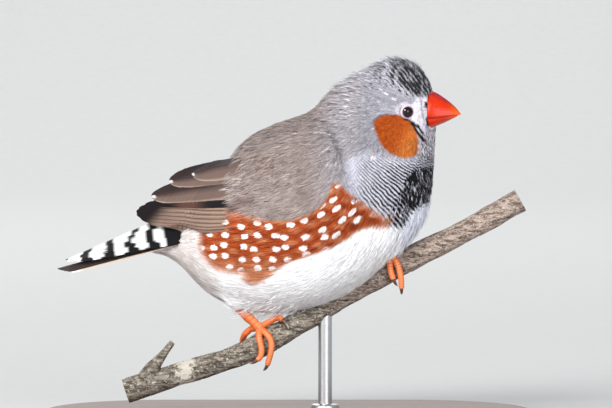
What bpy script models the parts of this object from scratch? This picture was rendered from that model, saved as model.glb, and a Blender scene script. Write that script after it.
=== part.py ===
# A male zebra finch, life size, perched along a cut length of branch on a plain display stand.
# The bird is modelled in its own frame (+X forward, +Y to its left) and then turned a little
# towards the viewer. The stand, the branch and the feet are modelled in the world frame.
import math

import bmesh
import bpy
from mathutils import Matrix, Vector
from mathutils.bvhtree import BVHTree

MM = 0.001
GAP = 0.3 * MM

# Driving dimensions of the mount
BASE_LENGTH = 112 * MM
BASE_DEPTH = 56 * MM
BASE_THICKNESS = 5 * MM
BASE_EDGE = 0.8 * MM
ROD_RADIUS = 1.6 * MM
ROD_X = 8.4 * MM
PERCH_Y = -3.0 * MM
PERCH_RADIUS = 2.65 * MM

# Driving dimensions of the bird
BIRD_X = 2.6 * MM
BODY_TURN = math.radians(10)
HEAD_TURN = math.radians(7)
HEAD_PIVOT_X = 12 * MM
EYE_RADIUS = 1.75 * MM
EYE_DEPTH = 1.15 * MM
EYE_X, EYE_Z = 27.2 * MM, 74.1 * MM
WING_THICKNESS = 1.1 * MM
TARSUS_RADIUS = 1.15 * MM
TOE_RADIUS = 0.71 * MM
CLAW_LENGTH = 2.3 * MM

# Body sections from the vent to the face, in millimetres of the bird's frame:
# name, dorsal (x, z), ventral (x, z), half width, how much wider the lower half is.
BODY_SECTIONS = [
    ("undertail", (-30.8, 44.4), (-33.1, 40.4), 2.6, 0.00),
    ("tail_root", (-26.1, 47.6), (-28.4, 38.8), 5.8, 0.00),
    ("vent", (-22.1, 53.7), (-25.4, 35.3), 10.0, 0.02),
    ("rump", (-17.1, 61.8), (-20.9, 30.5), 14.8, 0.05),
    ("loin", (-10.1, 69.4), (-12.0, 26.7), 18.4, 0.07),
    ("mid_back", (-2.7, 72.3), (0.3, 26.6), 20.2, 0.08),
    ("shoulder", (2.6, 73.3), (12.3, 30.8), 19.8, 0.08),
    ("lower_breast", (5.3, 76.4), (20.8, 38.4), 17.9, 0.08),
    ("breast", (7.7, 79.0), (26.8, 44.9), 15.6, 0.07),
    ("upper_breast", (10.7, 81.0), (30.2, 51.0), 13.1, 0.06),
    ("nape", (14.0, 82.6), (30.6, 56.7), 10.9, 0.08),
    ("throat", (18.0, 84.4), (30.9, 61.8), 9.5, 0.07),
    ("crown", (22.0, 86.0), (30.9, 65.2), 8.7, 0.06),
    ("forehead", (25.9, 85.3), (30.9, 67.8), 7.8, 0.05),
    ("lores", (28.9, 82.8), (31.2, 69.4), 6.1, 0.06),
    ("bill_base", (30.5, 79.0), (30.9, 70.4), 4.1, 0.00),
]
BODY_RING = 14
BODY_SQUARENESS, HEAD_SQUARENESS = 2.15, 2.4
TURN_FROM, TURN_TO = 6.5, 11.5

# Cuts between the named parts of the body: a point on the back and one on the front, (x, z)
HEAD_CUT = ((10.2, 79.6), (31.6, 58.6))
NECK_CUT = ((4.0, 74.6), (29.0, 49.6))

# Centreline of the branch, (x, z) in millimetres of the world frame
PERCH_LINE = [
    (-37.4, 9.5),
    (-27.7, 12.6),
    (-16.7, 16.0),
    (-9.1, 18.8),
    (1.7, 24.8),
    (10.7, 30.1),
    (19.4, 35.1),
    (26.6, 39.3),
    (39.7, 45.9),
    (53.2, 53.4),
]
PERCH_STEPS = 3

# Colours: red, green, blue, roughness, metallic
FINISHES = {
    "grey_plumage": (0.42, 0.42, 0.43, 0.8, 0.0),
    "back_plumage": (0.36, 0.31, 0.27, 0.8, 0.0),
    "belly_plumage": (0.85, 0.83, 0.80, 0.8, 0.0),
    "flight_feather": (0.22, 0.17, 0.14, 0.6, 0.0),
    "tail_feather": (0.05, 0.05, 0.05, 0.6, 0.0),
    "bill": (0.85, 0.12, 0.03, 0.35, 0.0),
    "eye": (0.03, 0.01, 0.01, 0.05, 0.0),
    "leg": (0.85, 0.28, 0.08, 0.5, 0.0),
    "claw": (0.55, 0.40, 0.30, 0.4, 0.0),
    "bark": (0.42, 0.36, 0.31, 0.9, 0.0),
    "stand_wood": (0.05, 0.04, 0.035, 0.4, 0.0),
    "stand_steel": (0.55, 0.55, 0.56, 0.3, 1.0),
}


def clear_scene():
    for thing in list(bpy.data.objects):
        bpy.data.objects.remove(thing, do_unlink=True)


def new_collection(name):
    made = bpy.data.collections.new(name)
    bpy.context.scene.collection.children.link(made)
    return made


def material(name):
    if name in bpy.data.materials:
        return bpy.data.materials[name]
    red, green, blue, roughness, metallic = FINISHES[name]
    made = bpy.data.materials.new(name)
    made.use_nodes = True
    shader = made.node_tree.nodes["Principled BSDF"]
    shader.inputs["Base Color"].default_value = (red, green, blue, 1)
    shader.inputs["Roughness"].default_value = roughness
    shader.inputs["Metallic"].default_value = metallic
    return made


def mm(x, y, z):
    return Vector((x * MM, y * MM, z * MM))


def smooth_step(value, low, high):
    share = min(1.0, max(0.0, (value - low) / (high - low)))
    return share * share * (3 - 2 * share)


def spline_points(points, steps):
    """Catmull-Rom points through a list of vectors, with this many steps between two of them."""
    ends = [2 * points[0] - points[1]] + list(points) + [2 * points[-1] - points[-2]]
    found = []
    for before, start, end, after in zip(ends, ends[1:], ends[2:], ends[3:]):
        for step in range(steps):
            t = step / steps
            bend = 2 * before - 5 * start + 4 * end - after
            twist = 3 * start - before - 3 * end + after
            found.append(0.5 * (2 * start + (end - before) * t + bend * t**2 + twist * t**3))
    return found + [points[-1]]


def along_line(points, share):
    """The point at this share of a smooth line through a few (x, z) points in millimetres."""
    fine = spline_points([mm(x, 0, z) for x, z in points], 6)
    place = share * (len(fine) - 1)
    index = min(int(place), len(fine) - 2)
    return fine[index].lerp(fine[index + 1], place - index)


def show(thing, name, finish, collection, parent=None):
    thing.name = name
    thing.data.name = name
    thing.data.materials.clear()
    thing.data.materials.append(material(finish))
    if parent:
        thing.parent = parent
    for owner in list(thing.users_collection):
        owner.objects.unlink(thing)
    collection.objects.link(thing)
    return thing


def mesh_object(name, mesh):
    made = bpy.data.objects.new(name, mesh)
    bpy.context.scene.collection.objects.link(made)
    return made


def baked(thing, orient=True):
    """A plain mesh of the evaluated object, with a curve's caps welded and faced outwards."""
    bpy.context.view_layer.update()
    graph = bpy.context.evaluated_depsgraph_get()
    mesh = bpy.data.meshes.new_from_object(thing.evaluated_get(graph))
    work = bmesh.new()
    work.from_mesh(mesh)
    bmesh.ops.remove_doubles(work, verts=work.verts, dist=0.01 * MM)
    if orient:
        bmesh.ops.recalc_face_normals(work, faces=work.faces)
    if work.calc_volume(signed=True) < 0:
        bmesh.ops.reverse_faces(work, faces=work.faces)
    work.to_mesh(mesh)
    work.free()
    made = mesh_object(thing.name, mesh)
    made.matrix_world = thing.matrix_world.copy()
    bpy.data.objects.remove(thing, do_unlink=True)
    return made


def loft(name, rings):
    """A closed surface through rings of equal length, with a flat face at each end."""
    work = bmesh.new()
    made = [[work.verts.new(point) for point in ring] for ring in rings]
    for near, far in zip(made, made[1:]):
        for k in range(len(near)):
            nxt = (k + 1) % len(near)
            work.faces.new((near[k], near[nxt], far[nxt], far[k]))
    work.faces.new(list(reversed(made[0])))
    work.faces.new(made[-1])
    bmesh.ops.recalc_face_normals(work, faces=work.faces)
    mesh = bpy.data.meshes.new(name)
    work.to_mesh(mesh)
    work.free()
    return mesh_object(name, mesh)


def tube(name, points, radius, radii=None, resolution=2):
    """A tube along points: a poly curve with a bevel, made a mesh. radii are shares of radius."""
    curve = bpy.data.curves.new(name, "CURVE")
    curve.dimensions = "3D"
    curve.bevel_depth = radius
    curve.bevel_resolution = resolution
    curve.use_fill_caps = True
    line = curve.splines.new("POLY")
    line.points.add(len(points) - 1)
    for index, point in enumerate(points):
        line.points[index].co = (*point, 1)
        line.points[index].radius = radii[index] if radii else 1
    return baked(mesh_object(name, curve))


def combine(thing, other, operation):
    """Applies one exact Boolean to thing, at once."""
    cut = thing.modifiers.new(operation.title(), "BOOLEAN")
    cut.operation = operation
    cut.solver = "EXACT"
    cut.object = other
    name = thing.name
    made = baked(thing, orient=False)
    made.name = name
    return made


def without_crumbs(thing):
    """Keeps the largest connected piece of a mesh, after a cut has left scraps beside it."""
    work = bmesh.new()
    work.from_mesh(thing.data)
    left, islands = set(work.verts), []
    while left:
        island, edge_of_search = set(), [next(iter(left))]
        while edge_of_search:
            vertex = edge_of_search.pop()
            if vertex in island:
                continue
            island.add(vertex)
            edge_of_search += [edge.other_vert(vertex) for edge in vertex.link_edges]
        left -= island
        islands.append(island)
    islands.sort(key=len)
    for island in islands[:-1]:
        bmesh.ops.delete(work, geom=list(island), context="VERTS")
    work.to_mesh(thing.data)
    work.free()
    return thing


def head_turned(point, share=1.0):
    """A point of the bird's frame, turned with the head towards the bird's right."""
    pivot = Vector((HEAD_PIVOT_X, 0, 0))
    return pivot + Matrix.Rotation(-HEAD_TURN * share, 3, "Z") @ (point - pivot)


def body_ring(index, grow):
    """One section of the body, grown outwards by some clearance."""
    _, top, bottom, half_width, lower = BODY_SECTIONS[index]
    high, low = mm(top[0], 0, top[1]), mm(bottom[0], 0, bottom[1])
    centre, up = (high + low) / 2, (high - low) / 2
    swell = 1 / math.cos(math.pi / BODY_RING)
    height = (up.length * swell + grow) / up.length
    width = half_width * MM * swell + grow
    turn = smooth_step(index, TURN_FROM, TURN_TO)
    power = 2 / (BODY_SQUARENESS + (HEAD_SQUARENESS - BODY_SQUARENESS) * turn)
    ring = []
    for k in range(BODY_RING):
        angle = 2 * math.pi * k / BODY_RING
        rise, side = math.cos(angle), math.sin(angle)
        rise = math.copysign(abs(rise) ** power, rise)
        side = math.copysign(abs(side) ** power, side)
        across = Vector((0, width * side * (1 - lower * rise), 0))
        ring.append(head_turned(centre + up * height * rise + across, turn))
    return ring


def body_form(name, grow=0.0):
    """The whole body without wings, tail, bill and feet, from a coarse cage."""
    form = loft(name, [body_ring(index, grow) for index in range(len(BODY_SECTIONS))])
    soft = form.modifiers.new("Soft", "SUBSURF")
    soft.levels = soft.render_levels = 1
    return baked(form)


def sliced(source, name, cuts):
    """A copy of source, kept on the inner side of each (point, outward normal) plane."""
    work = bmesh.new()
    work.from_mesh(source.data)
    for point, normal in cuts:
        geometry = work.verts[:] + work.edges[:] + work.faces[:]
        away = point - normal * GAP / 2
        bmesh.ops.bisect_plane(
            work, geom=geometry, dist=1e-7, plane_co=away, plane_no=normal, clear_outer=True
        )
        rim = [edge for edge in work.edges if edge.is_boundary]
        bmesh.ops.contextual_create(work, geom=rim)
    bmesh.ops.recalc_face_normals(work, faces=work.faces)
    mesh = bpy.data.meshes.new(name)
    work.to_mesh(mesh)
    work.free()
    return mesh_object(name, mesh)


def cut_plane(cut):
    """A plane across the body through a back point and a front point, facing the head."""
    back, front = mm(cut[0][0], 0, cut[0][1]), mm(cut[1][0], 0, cut[1][1])
    along = (front - back).normalized()
    return back, Vector((-along.z, 0, along.x))


def ball(name, centre, radius, stretch=(1, 1, 1), segments=14, rings=9):
    work = bmesh.new()
    bmesh.ops.create_uvsphere(work, u_segments=segments, v_segments=rings, radius=radius)
    place = Matrix.Translation(centre) @ Matrix.Diagonal((*stretch, 1))
    bmesh.ops.transform(work, matrix=place, verts=work.verts)
    mesh = bpy.data.meshes.new(name)
    work.to_mesh(mesh)
    work.free()
    return mesh_object(name, mesh)


def tree_of(thing):
    work = bmesh.new()
    work.from_mesh(thing.data)
    tree = BVHTree.FromBMesh(work)
    work.free()
    return tree


def eye_centre(tree, side):
    """The eyeball's centre, so that only a cap of it stands out of the head."""
    middle = head_turned(Vector((EYE_X, 0, EYE_Z)))
    outward = Matrix.Rotation(-HEAD_TURN, 3, "Z") @ Vector((0, side, 0))
    hit = tree.ray_cast(middle + outward * 30 * MM, -outward)[0]
    return hit - outward * EYE_DEPTH


# The bill: both mandibles run from the base plane to the tip, above and below the gape line.
BILL_BASE_X, BILL_TIP_X = 31.15, 38.1
GAPE_Z, GAPE_TIP_Z = 72.6, 73.4
UPPER_HEIGHT, LOWER_HEIGHT = 5.6, 2.7
UPPER_CURVE, LOWER_CURVE = 1.45, 0.78
LOWER_SHARE = 0.88
UPPER_HALF_WIDTH, LOWER_HALF_WIDTH = 3.6, 3.3
BILL_STATIONS = 8
BILL_ARC = 10


def mandible(name, height, half_width, length, curve, upward):
    """Half of the bill: an arched shell above or below the gape, solid to the gape's plane."""
    rings = []
    for station in range(BILL_STATIONS):
        share = station / (BILL_STATIONS - 1) * length
        x = BILL_BASE_X + (BILL_TIP_X - BILL_BASE_X) * share
        gape = GAPE_Z + (GAPE_TIP_Z - GAPE_Z) * share + upward * GAP / MM / 2
        tall = height * (1 - share**curve) + 0.25
        wide = half_width * (1 - share**1.5) + 0.25
        ring = []
        for k in range(BILL_ARC + 1):
            angle = math.pi * k / BILL_ARC
            y = wide * math.cos(angle)
            z = gape + upward * tall * math.sin(angle) ** 0.9
            ring.append(head_turned(mm(x, y, z)))
        rings.append(ring if upward > 0 else ring[::-1])
    return loft(name, rings)


# Wing outlines seen from the side, (x, z) in millimetres: upper edge and lower edge, front to back
WING_PARTS = {
    "coverts": (
        [(11.8, 65.0), (6.2, 69.6), (-0.6, 69.6), (-6.0, 67.6), (-11.2, 65.3)],
        [(13.0, 59.5), (9.6, 53.8), (3.6, 50.0), (-3.4, 48.2), (-9.9, 47.8)],
        "back_plumage",
    ),
    "tertials": (
        [(-11.6, 65.3), (-16.2, 63.6), (-21.6, 61.6), (-27.4, 59.2), (-31.8, 56.2)],
        [(-10.8, 55.4), (-17.6, 54.4), (-24.0, 53.9), (-28.8, 53.8), (-31.8, 54.4)],
        "flight_feather",
    ),
    "primaries": (
        [(-10.7, 54.9), (-17.6, 53.9), (-24.0, 53.4), (-30.0, 53.3), (-35.0, 53.0), (-37.3, 51.9)],
        [(-10.2, 47.8), (-15.2, 46.4), (-20.8, 45.8), (-27.6, 47.2), (-32.6, 48.8), (-36.8, 50.3)],
        "flight_feather",
    ),
}
WING_COLUMNS, WING_ROWS = 10, 6
WING_CLEARANCE = 0.4 * MM
# Half width of the folded wings seen from above, where they run on past the body: (x, half width)
WING_PLAN = [(-38, 2.4), (-33, 3.8), (-28, 6.2), (-23, 8.6), (-17, 11.2), (-10, 13.0), (14, 13.0)]
# Height of the wings' upper edge along the body: (x, z). Up there they lean in over the back.
WING_CREST = [(-38, 53.0), (-31, 56.5), (-21, 62.0), (-11, 65.6), (-6, 67.8), (14, 71.0)]
WING_LEAN_FROM, WING_LEAN = 48 * MM, 0.68


def from_table(table, x):
    """The value at x, in metres, from a table in millimetres."""
    for (x0, value0), (x1, value1) in zip(table, table[1:]):
        if x <= x1 * MM:
            share = max(0.0, (x / MM - x0) / (x1 - x0))
            return (value0 + (value1 - value0) * share) * MM
    return table[-1][1] * MM


def wing_surface(tree, x, z):
    """Half width of the wing's inner face at a side-view place: on the body, or past its end."""
    found, normal = tree.ray_cast(Vector((x, 60 * MM, z)), Vector((0, -1, 0)))[:2]
    height = max(0.0, z - WING_LEAN_FROM) / (from_table(WING_CREST, x) - WING_LEAN_FROM)
    outer = from_table(WING_PLAN, x) * (1 - WING_LEAN * min(1.0, height) ** 3)
    on_body = found.y + WING_CLEARANCE / max(0.3, abs(normal.y)) if found else -1.0
    blend = 1.5 * MM
    high, low = max(outer, on_body), min(outer, on_body)
    if high - low > blend:
        return high
    return high + (blend - (high - low)) ** 2 / (4 * blend)


def wing_part(tree, part, side, name):
    """A patch of the folded wing laid over the body's side and thickened outwards."""
    upper, lower, _ = WING_PARTS[part]
    work = bmesh.new()
    grid = []
    for column in range(WING_COLUMNS + 1):
        share = column / WING_COLUMNS
        high, low = along_line(upper, share), along_line(lower, share)
        strip = []
        for row in range(WING_ROWS + 1):
            place = high.lerp(low, row / WING_ROWS)
            y = side * wing_surface(tree, place.x, place.z)
            strip.append(work.verts.new((place.x, y, place.z)))
        grid.append(strip)
    for near, far in zip(grid, grid[1:]):
        for row in range(WING_ROWS):
            work.faces.new((near[row], near[row + 1], far[row + 1], far[row]))
    bmesh.ops.recalc_face_normals(work, faces=work.faces)
    mesh = bpy.data.meshes.new(name)
    work.to_mesh(mesh)
    work.free()
    made = mesh_object(name, mesh)
    outward = sum((face.normal.y for face in mesh.polygons)) * side
    shell = made.modifiers.new("Thickness", "SOLIDIFY")
    shell.thickness = WING_THICKNESS
    shell.offset = 1 if outward > 0 else -1
    shell.use_even_offset = False
    return baked(made)


# The tail is two roof-shaped bodies: the barred coverts above, the long feathers below. Along the
# tail, from its root (0) to its tip (1), each surface has a ridge and falls away to both sides.
TAIL_ROOT, TAIL_TIP = (-24.0, 46.2), (-57.2, 36.6)
TAIL_HALF_WIDTH = 5.3 * MM
TAIL_COLUMNS, TAIL_ROWS = 10, 8
# Height of the ridge and fall to the edge in millimetres, at the root and at the tip
COVERT_TOP = ((6.0, 1.2), (7.2, 1.5))
TAIL_TOP = ((0.0, 0.0), (2.6, 1.0))
TAIL_UNDER = ((-1.0, -0.9), (2.6, 1.0))


def tail_height(surface, along, across):
    """Height of one of the tail's surfaces over its axis, in metres."""
    ridge, fall = surface
    lift = ridge[0] + (ridge[1] - ridge[0]) * along
    drop = fall[0] + (fall[1] - fall[0]) * along
    return (lift - drop * abs(across) ** 1.35) * MM


def tail_body(name, start, end, top, under, gap_under, grow=0.0):
    """A closed body between two of the tail's surfaces, rounded off at its end."""
    root, tip = mm(TAIL_ROOT[0], 0, TAIL_ROOT[1]), mm(TAIL_TIP[0], 0, TAIL_TIP[1])
    way = (tip - root).normalized()
    up = Vector((way.z, 0, -way.x))
    work = bmesh.new()
    layers = []
    for surface, shift in ((top, grow), (under, gap_under - grow)):
        grid = []
        for column in range(TAIL_COLUMNS + 1):
            share = column / TAIL_COLUMNS
            taper = math.sqrt(max(0.0, 1 - share**3.2)) * 0.78 + 0.22
            along = start + (end - start) * share
            width = TAIL_HALF_WIDTH * (1 - 0.38 * along)
            strip = []
            for row in range(TAIL_ROWS + 1):
                across = (2 * row / TAIL_ROWS - 1) * taper
                height = tail_height(surface, along, across) + shift
                y = (width + grow) * across
                strip.append(work.verts.new(root.lerp(tip, along) + up * height + mm(0, y / MM, 0)))
            grid.append(strip)
        layers.append(grid)
    upper, lower = layers
    last, edge = TAIL_COLUMNS, TAIL_ROWS
    for k in range(last):
        for row in range(edge):
            for grid in layers:
                corners = (grid[k][row], grid[k][row + 1], grid[k + 1][row + 1], grid[k + 1][row])
                work.faces.new(corners)
        for row in (0, edge):
            work.faces.new((upper[k][row], lower[k][row], lower[k + 1][row], upper[k + 1][row]))
    for k in (0, last):
        for row in range(edge):
            work.faces.new((upper[k][row], upper[k][row + 1], lower[k][row + 1], lower[k][row]))
    bmesh.ops.recalc_face_normals(work, faces=work.faces)
    mesh = bpy.data.meshes.new(name)
    work.to_mesh(mesh)
    work.free()
    return baked(mesh_object(name, mesh))


def perch_points():
    return spline_points([Vector((x * MM, PERCH_Y, z * MM)) for x, z in PERCH_LINE], PERCH_STEPS)


def perch_frame(x):
    """(centre, direction) of the branch at a world x, both in the branch's own plane."""
    fine = perch_points()
    for start, end in zip(fine, fine[1:]):
        if x <= end.x:
            share = (x - start.x) / (end.x - start.x)
            return start.lerp(end, share), (end - start).normalized()
    return fine[-1], (fine[-1] - fine[-2]).normalized()


def perch_form(name, radius):
    """The branch with slow swellings along it, as knots leave."""
    points = perch_points()
    radii = []
    for index in range(len(points)):
        share = index / (len(points) - 1)
        swell = 0.05 * math.sin(19 * share + 1.0) + 0.04 * math.sin(43 * share)
        radii.append(1 + swell)
    return tube(name, points, radius, radii, resolution=3)


TWIG = [(-32.2, 13.2), (-30.6, 15.6), (-28.6, 18.2), (-26.4, 21.0)]
TWIG_SHARES = [1.9, 1.15, 0.85, 0.7]
TWIG_RADIUS = 0.95 * MM


def make_perch():
    """The cut branch with the broken stub of a side twig grown into it."""
    branch = perch_form("perch", PERCH_RADIUS)
    stub_line = [Vector((x * MM, PERCH_Y - 1.0 * MM, z * MM)) for x, z in TWIG]
    stub = tube("stub", stub_line, TWIG_RADIUS, TWIG_SHARES, resolution=2)
    branch = combine(branch, stub, "UNION")
    bpy.data.objects.remove(stub, do_unlink=True)
    return branch


def beside_perch(x, z, side, lift):
    """A place on the branch's surface as seen from the side: round its top, then hanging down."""
    point = Vector((x * MM, PERCH_Y, z * MM))
    centre, along = perch_frame(point.x)
    up = Vector((-along.z, 0, along.x))
    height = (point - centre).dot(up)
    reach = PERCH_RADIUS * 1.07 + lift
    if height > 0:
        out = math.sqrt(max(0.0, reach**2 - height**2))
    else:
        out = reach - 0.25 * max(0.0, -height - PERCH_RADIUS)
    return point + Vector((0, side * out, 0))


# Toes as the side view shows them: world (x, z) points in millimetres, from the pad outwards.
# Toe 1 is the hind toe, behind the branch; toes 2 to 4 come over its near side.
FEET = {
    "right": {
        "pad": (-6.7, 24.2),
        "toes": {
            1: [(-8.5, 23.8), (-9.9, 22.6), (-10.6, 20.7), (-10.3, 18.6)],
            2: [(-6.7, 21.9), (-6.2, 19.6), (-6.4, 17.8), (-7.3, 16.8)],
            3: [(-4.8, 22.7), (-3.9, 20.8), (-4.0, 18.9), (-4.5, 16.9), (-4.9, 15.6)],
            4: [(-5.3, 25.0), (-3.7, 25.9), (-2.3, 26.5), (-1.2, 26.0)],
        },
    },
    "left": {
        "pad": (22.9, 41.2),
        "toes": {
            1: [(21.4, 40.0), (20.6, 38.0), (20.8, 35.8)],
            2: [(23.2, 38.9), (23.5, 37.0), (24.1, 35.3)],
            3: [(24.4, 39.9), (25.3, 37.9), (25.8, 35.5), (25.9, 33.2)],
            4: [(21.6, 41.0), (20.2, 40.6), (18.6, 39.7)],
        },
    },
}
PAD_LIFT = 1.35 * MM
TOE_LIFT = 1.04 * MM
PAD_RADIUS = 1.3 * MM
CLAW_TURN = 30


def pad_centre(foot):
    x, z = FEET[foot]["pad"]
    return beside_perch(x, z, -1, PAD_LIFT)


def toe_line(foot, toe):
    """The toe's smooth centreline, from the middle of the pad."""
    side = 1 if toe == 1 else -1
    marks = FEET[foot]["toes"][toe]
    points = [pad_centre(foot)] + [beside_perch(x, z, side, TOE_LIFT) for x, z in marks]
    return spline_points(points, 2)


def make_foot(foot, grow=0.0):
    """The four toes and the pad they grow from, joined into one piece."""
    size = PAD_RADIUS + grow
    whole = ball("foot_" + foot, pad_centre(foot), size, segments=10, rings=6)
    for toe in FEET[foot]["toes"]:
        line = toe_line(foot, toe)
        shares = [1.1 - 0.25 * k / (len(line) - 1) for k in range(len(line))]
        piece = tube("toe", line, TOE_RADIUS + grow, shares, resolution=1)
        whole = combine(whole, piece, "UNION")
        bpy.data.objects.remove(piece, do_unlink=True)
    return whole


def make_claw(foot, toe, grow=0.0):
    """A curved, tapering claw that carries on from the toe's end, a gap away from it."""
    line = toe_line(foot, toe)
    start, way = line[-1], (line[-1] - line[-2]).normalized()
    inward = perch_frame(start.x)[0] - start
    inward = (inward - way * inward.dot(way)).normalized()
    start = start + way * GAP
    points = []
    for step in range(5):
        share = step / 4
        bend = math.radians(CLAW_TURN) * share
        reach = way * math.cos(bend) + inward * math.sin(bend) * 0.9
        points.append(start + reach * CLAW_LENGTH * share)
    if grow:
        points[0] -= way * 2 * grow
        points[-1] += (points[-1] - points[-2]).normalized() * grow
    shares = [0.62, 0.6, 0.5, 0.34, 0.14]
    if grow:
        shares = [share + grow / TOE_RADIUS for share in shares]
    return tube(f"claw_{foot}_{toe}", points, TOE_RADIUS, shares, resolution=1)


def to_world(point):
    """A point of the bird's frame in the world frame."""
    return Vector((BIRD_X, 0, 0)) + Matrix.Rotation(-BODY_TURN, 3, "Z") @ point


# Heel of each leg in the bird's frame, where it leaves the belly's plumage
HEELS = {"right": (-15.9, -6.4, 31.3), "left": (14.6, 4.0, 49.0)}
# Centre of the feathered bulge where the right leg leaves the belly
THIGH_CENTRE = (-12.2, -6.6, 31.2)
THIGH_RADIUS = 4.0 * MM


def tarsus_line(foot):
    centre, heel = pad_centre(foot), to_world(mm(*HEELS[foot]))
    way = (heel - centre).normalized()
    return [centre + way * (PAD_RADIUS + 2 * GAP), heel]


def make_tarsus(foot, grow=0.0):
    low, high = tarsus_line(foot)
    if grow:
        low, high = low - (high - low).normalized() * 2 * grow, high + (high - low).normalized() * grow
    middle = low.lerp(high, 0.5)
    return tube(f"tarsus_{foot}", [low, middle, high], TARSUS_RADIUS + grow, [1.0, 0.95, 1.15])


def make_base():
    """A flat plinth with round ends and a softened edge."""
    curve = bpy.data.curves.new("stand_base", "CURVE")
    curve.dimensions = "2D"
    curve.fill_mode = "BOTH"
    curve.extrude = BASE_THICKNESS / 2
    outline = curve.splines.new("POLY")
    radius, straight = BASE_DEPTH / 2, (BASE_LENGTH - BASE_DEPTH) / 2
    points = []
    for end in (1, -1):
        for step in range(13):
            angle = math.pi * (step / 12 - 0.5)
            x = end * (straight + radius * math.cos(angle))
            points.append((x, end * radius * math.sin(angle), 0, 1))
    outline.points.add(len(points) - 1)
    for index, point in enumerate(points):
        outline.points[index].co = point
    outline.use_cyclic_u = True
    base = baked(mesh_object("stand_base", curve))
    base.data.transform(Matrix.Translation((0, 0, BASE_THICKNESS / 2)))
    edge = base.modifiers.new("Edge", "BEVEL")
    edge.width = BASE_EDGE
    edge.segments = 2
    edge.limit_method = "ANGLE"
    return base


def make_rod(perch_cutter):
    """The steel rod between the plinth and the underside of the branch."""
    centre, _ = perch_frame(ROD_X)
    bottom = Vector((ROD_X, PERCH_Y, BASE_THICKNESS + GAP))
    rod = tube("stand_rod", [bottom, centre], ROD_RADIUS, resolution=3)
    return combine(rod, perch_cutter, "DIFFERENCE")


def hidden(thing, name, parent=None):
    """Puts a cutting shape away in the cutters' collection, and gives it back for use."""
    thing.name = name
    thing.hide_render = True
    thing.display_type = "WIRE"
    if parent:
        thing.parent = parent
    for owner in list(thing.users_collection):
        owner.objects.unlink(thing)
    bpy.data.collections["cutters"].objects.link(thing)
    return thing


def build_stand_and_perch(finch):
    """The plinth, the rod and the branch. Gives back the branch grown by the gap, as a cutter."""
    perch_cutter = hidden(perch_form("perch_cutter", PERCH_RADIUS + GAP), "perch_cutter")
    show(make_perch(), "perch", "bark", finch)
    show(make_base(), "stand_base", "stand_wood", finch)
    show(make_rod(perch_cutter), "stand_rod", "stand_steel", finch)
    return perch_cutter


def build_head(body, tree, finch, bird):
    """Head, neck, eyes and bill. The head is hollowed out round each eye."""
    head_point, head_way = cut_plane(HEAD_CUT)
    neck_point, neck_way = cut_plane(NECK_CUT)
    head = sliced(body, "head", [(head_point, -head_way)])
    neck = sliced(body, "neck", [(head_point, head_way), (neck_point, -neck_way)])
    head.parent = bird
    for label, side in (("right", -1), ("left", 1)):
        centre = eye_centre(tree, side)
        socket = ball("socket", centre, EYE_RADIUS + GAP)
        head = combine(head, hidden(socket, "socket_" + label, bird), "DIFFERENCE")
        show(ball("eye_" + label, centre, EYE_RADIUS), "eye_" + label, "eye", finch, bird)
    show(head, "head", "grey_plumage", finch)
    show(neck, "neck", "grey_plumage", finch, bird)
    upper = mandible("bill_upper", UPPER_HEIGHT, UPPER_HALF_WIDTH, 1.0, UPPER_CURVE, 1)
    lower = mandible("bill_lower", LOWER_HEIGHT, LOWER_HALF_WIDTH, LOWER_SHARE, LOWER_CURVE, -1)
    show(upper, "bill_upper", "bill", finch, bird)
    show(lower, "bill_lower", "bill", finch, bird)


def build_tail(trunk, finch, bird):
    """The tail's two bodies, let into the trunk. Gives back the trunk."""
    tail = ("tail_feathers", 0.06, 1.0, TAIL_TOP, TAIL_UNDER, 0.0)
    coverts = ("tail_coverts", 0.0, 0.93, COVERT_TOP, TAIL_TOP, GAP)
    for name, start, end, top, under, gap_under in (tail, coverts):
        plate = tail_body(name, start, end, top, under, gap_under)
        show(plate, name, "tail_feather", finch, bird)
        grown = tail_body("grown", start - 0.02, end, top, under, gap_under, GAP)
        trunk = combine(trunk, hidden(grown, name + "_cutter", bird), "DIFFERENCE")
    return trunk


def build_wings(tree, finch, bird):
    for part, (_, _, finish) in WING_PARTS.items():
        for label, side in (("right", -1), ("left", 1)):
            name = f"wing_{label}_{part}"
            show(wing_part(tree, part, side, name), name, finish, finch, bird)


def build_leg(foot, trunk, finch):
    """Foot, claws and tarsus, with room for them in the belly. Gives back trunk and sleeve."""
    show(make_foot(foot), "foot_" + foot, "leg", finch)
    show(make_tarsus(foot), "tarsus_" + foot, "leg", finch)
    sock = hidden(make_foot(foot, GAP), "sock_" + foot)
    sleeve = hidden(make_tarsus(foot, GAP), "sleeve_" + foot)
    trunk = combine(trunk, sock, "DIFFERENCE")
    trunk = combine(trunk, sleeve, "DIFFERENCE")
    for toe in FEET[foot]["toes"]:
        show(make_claw(foot, toe), f"claw_{foot}_{toe}", "claw", finch)
        tip = hidden(make_claw(foot, toe, GAP), f"tip_{foot}_{toe}")
        trunk = combine(trunk, tip, "DIFFERENCE")
    return trunk, sleeve


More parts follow.
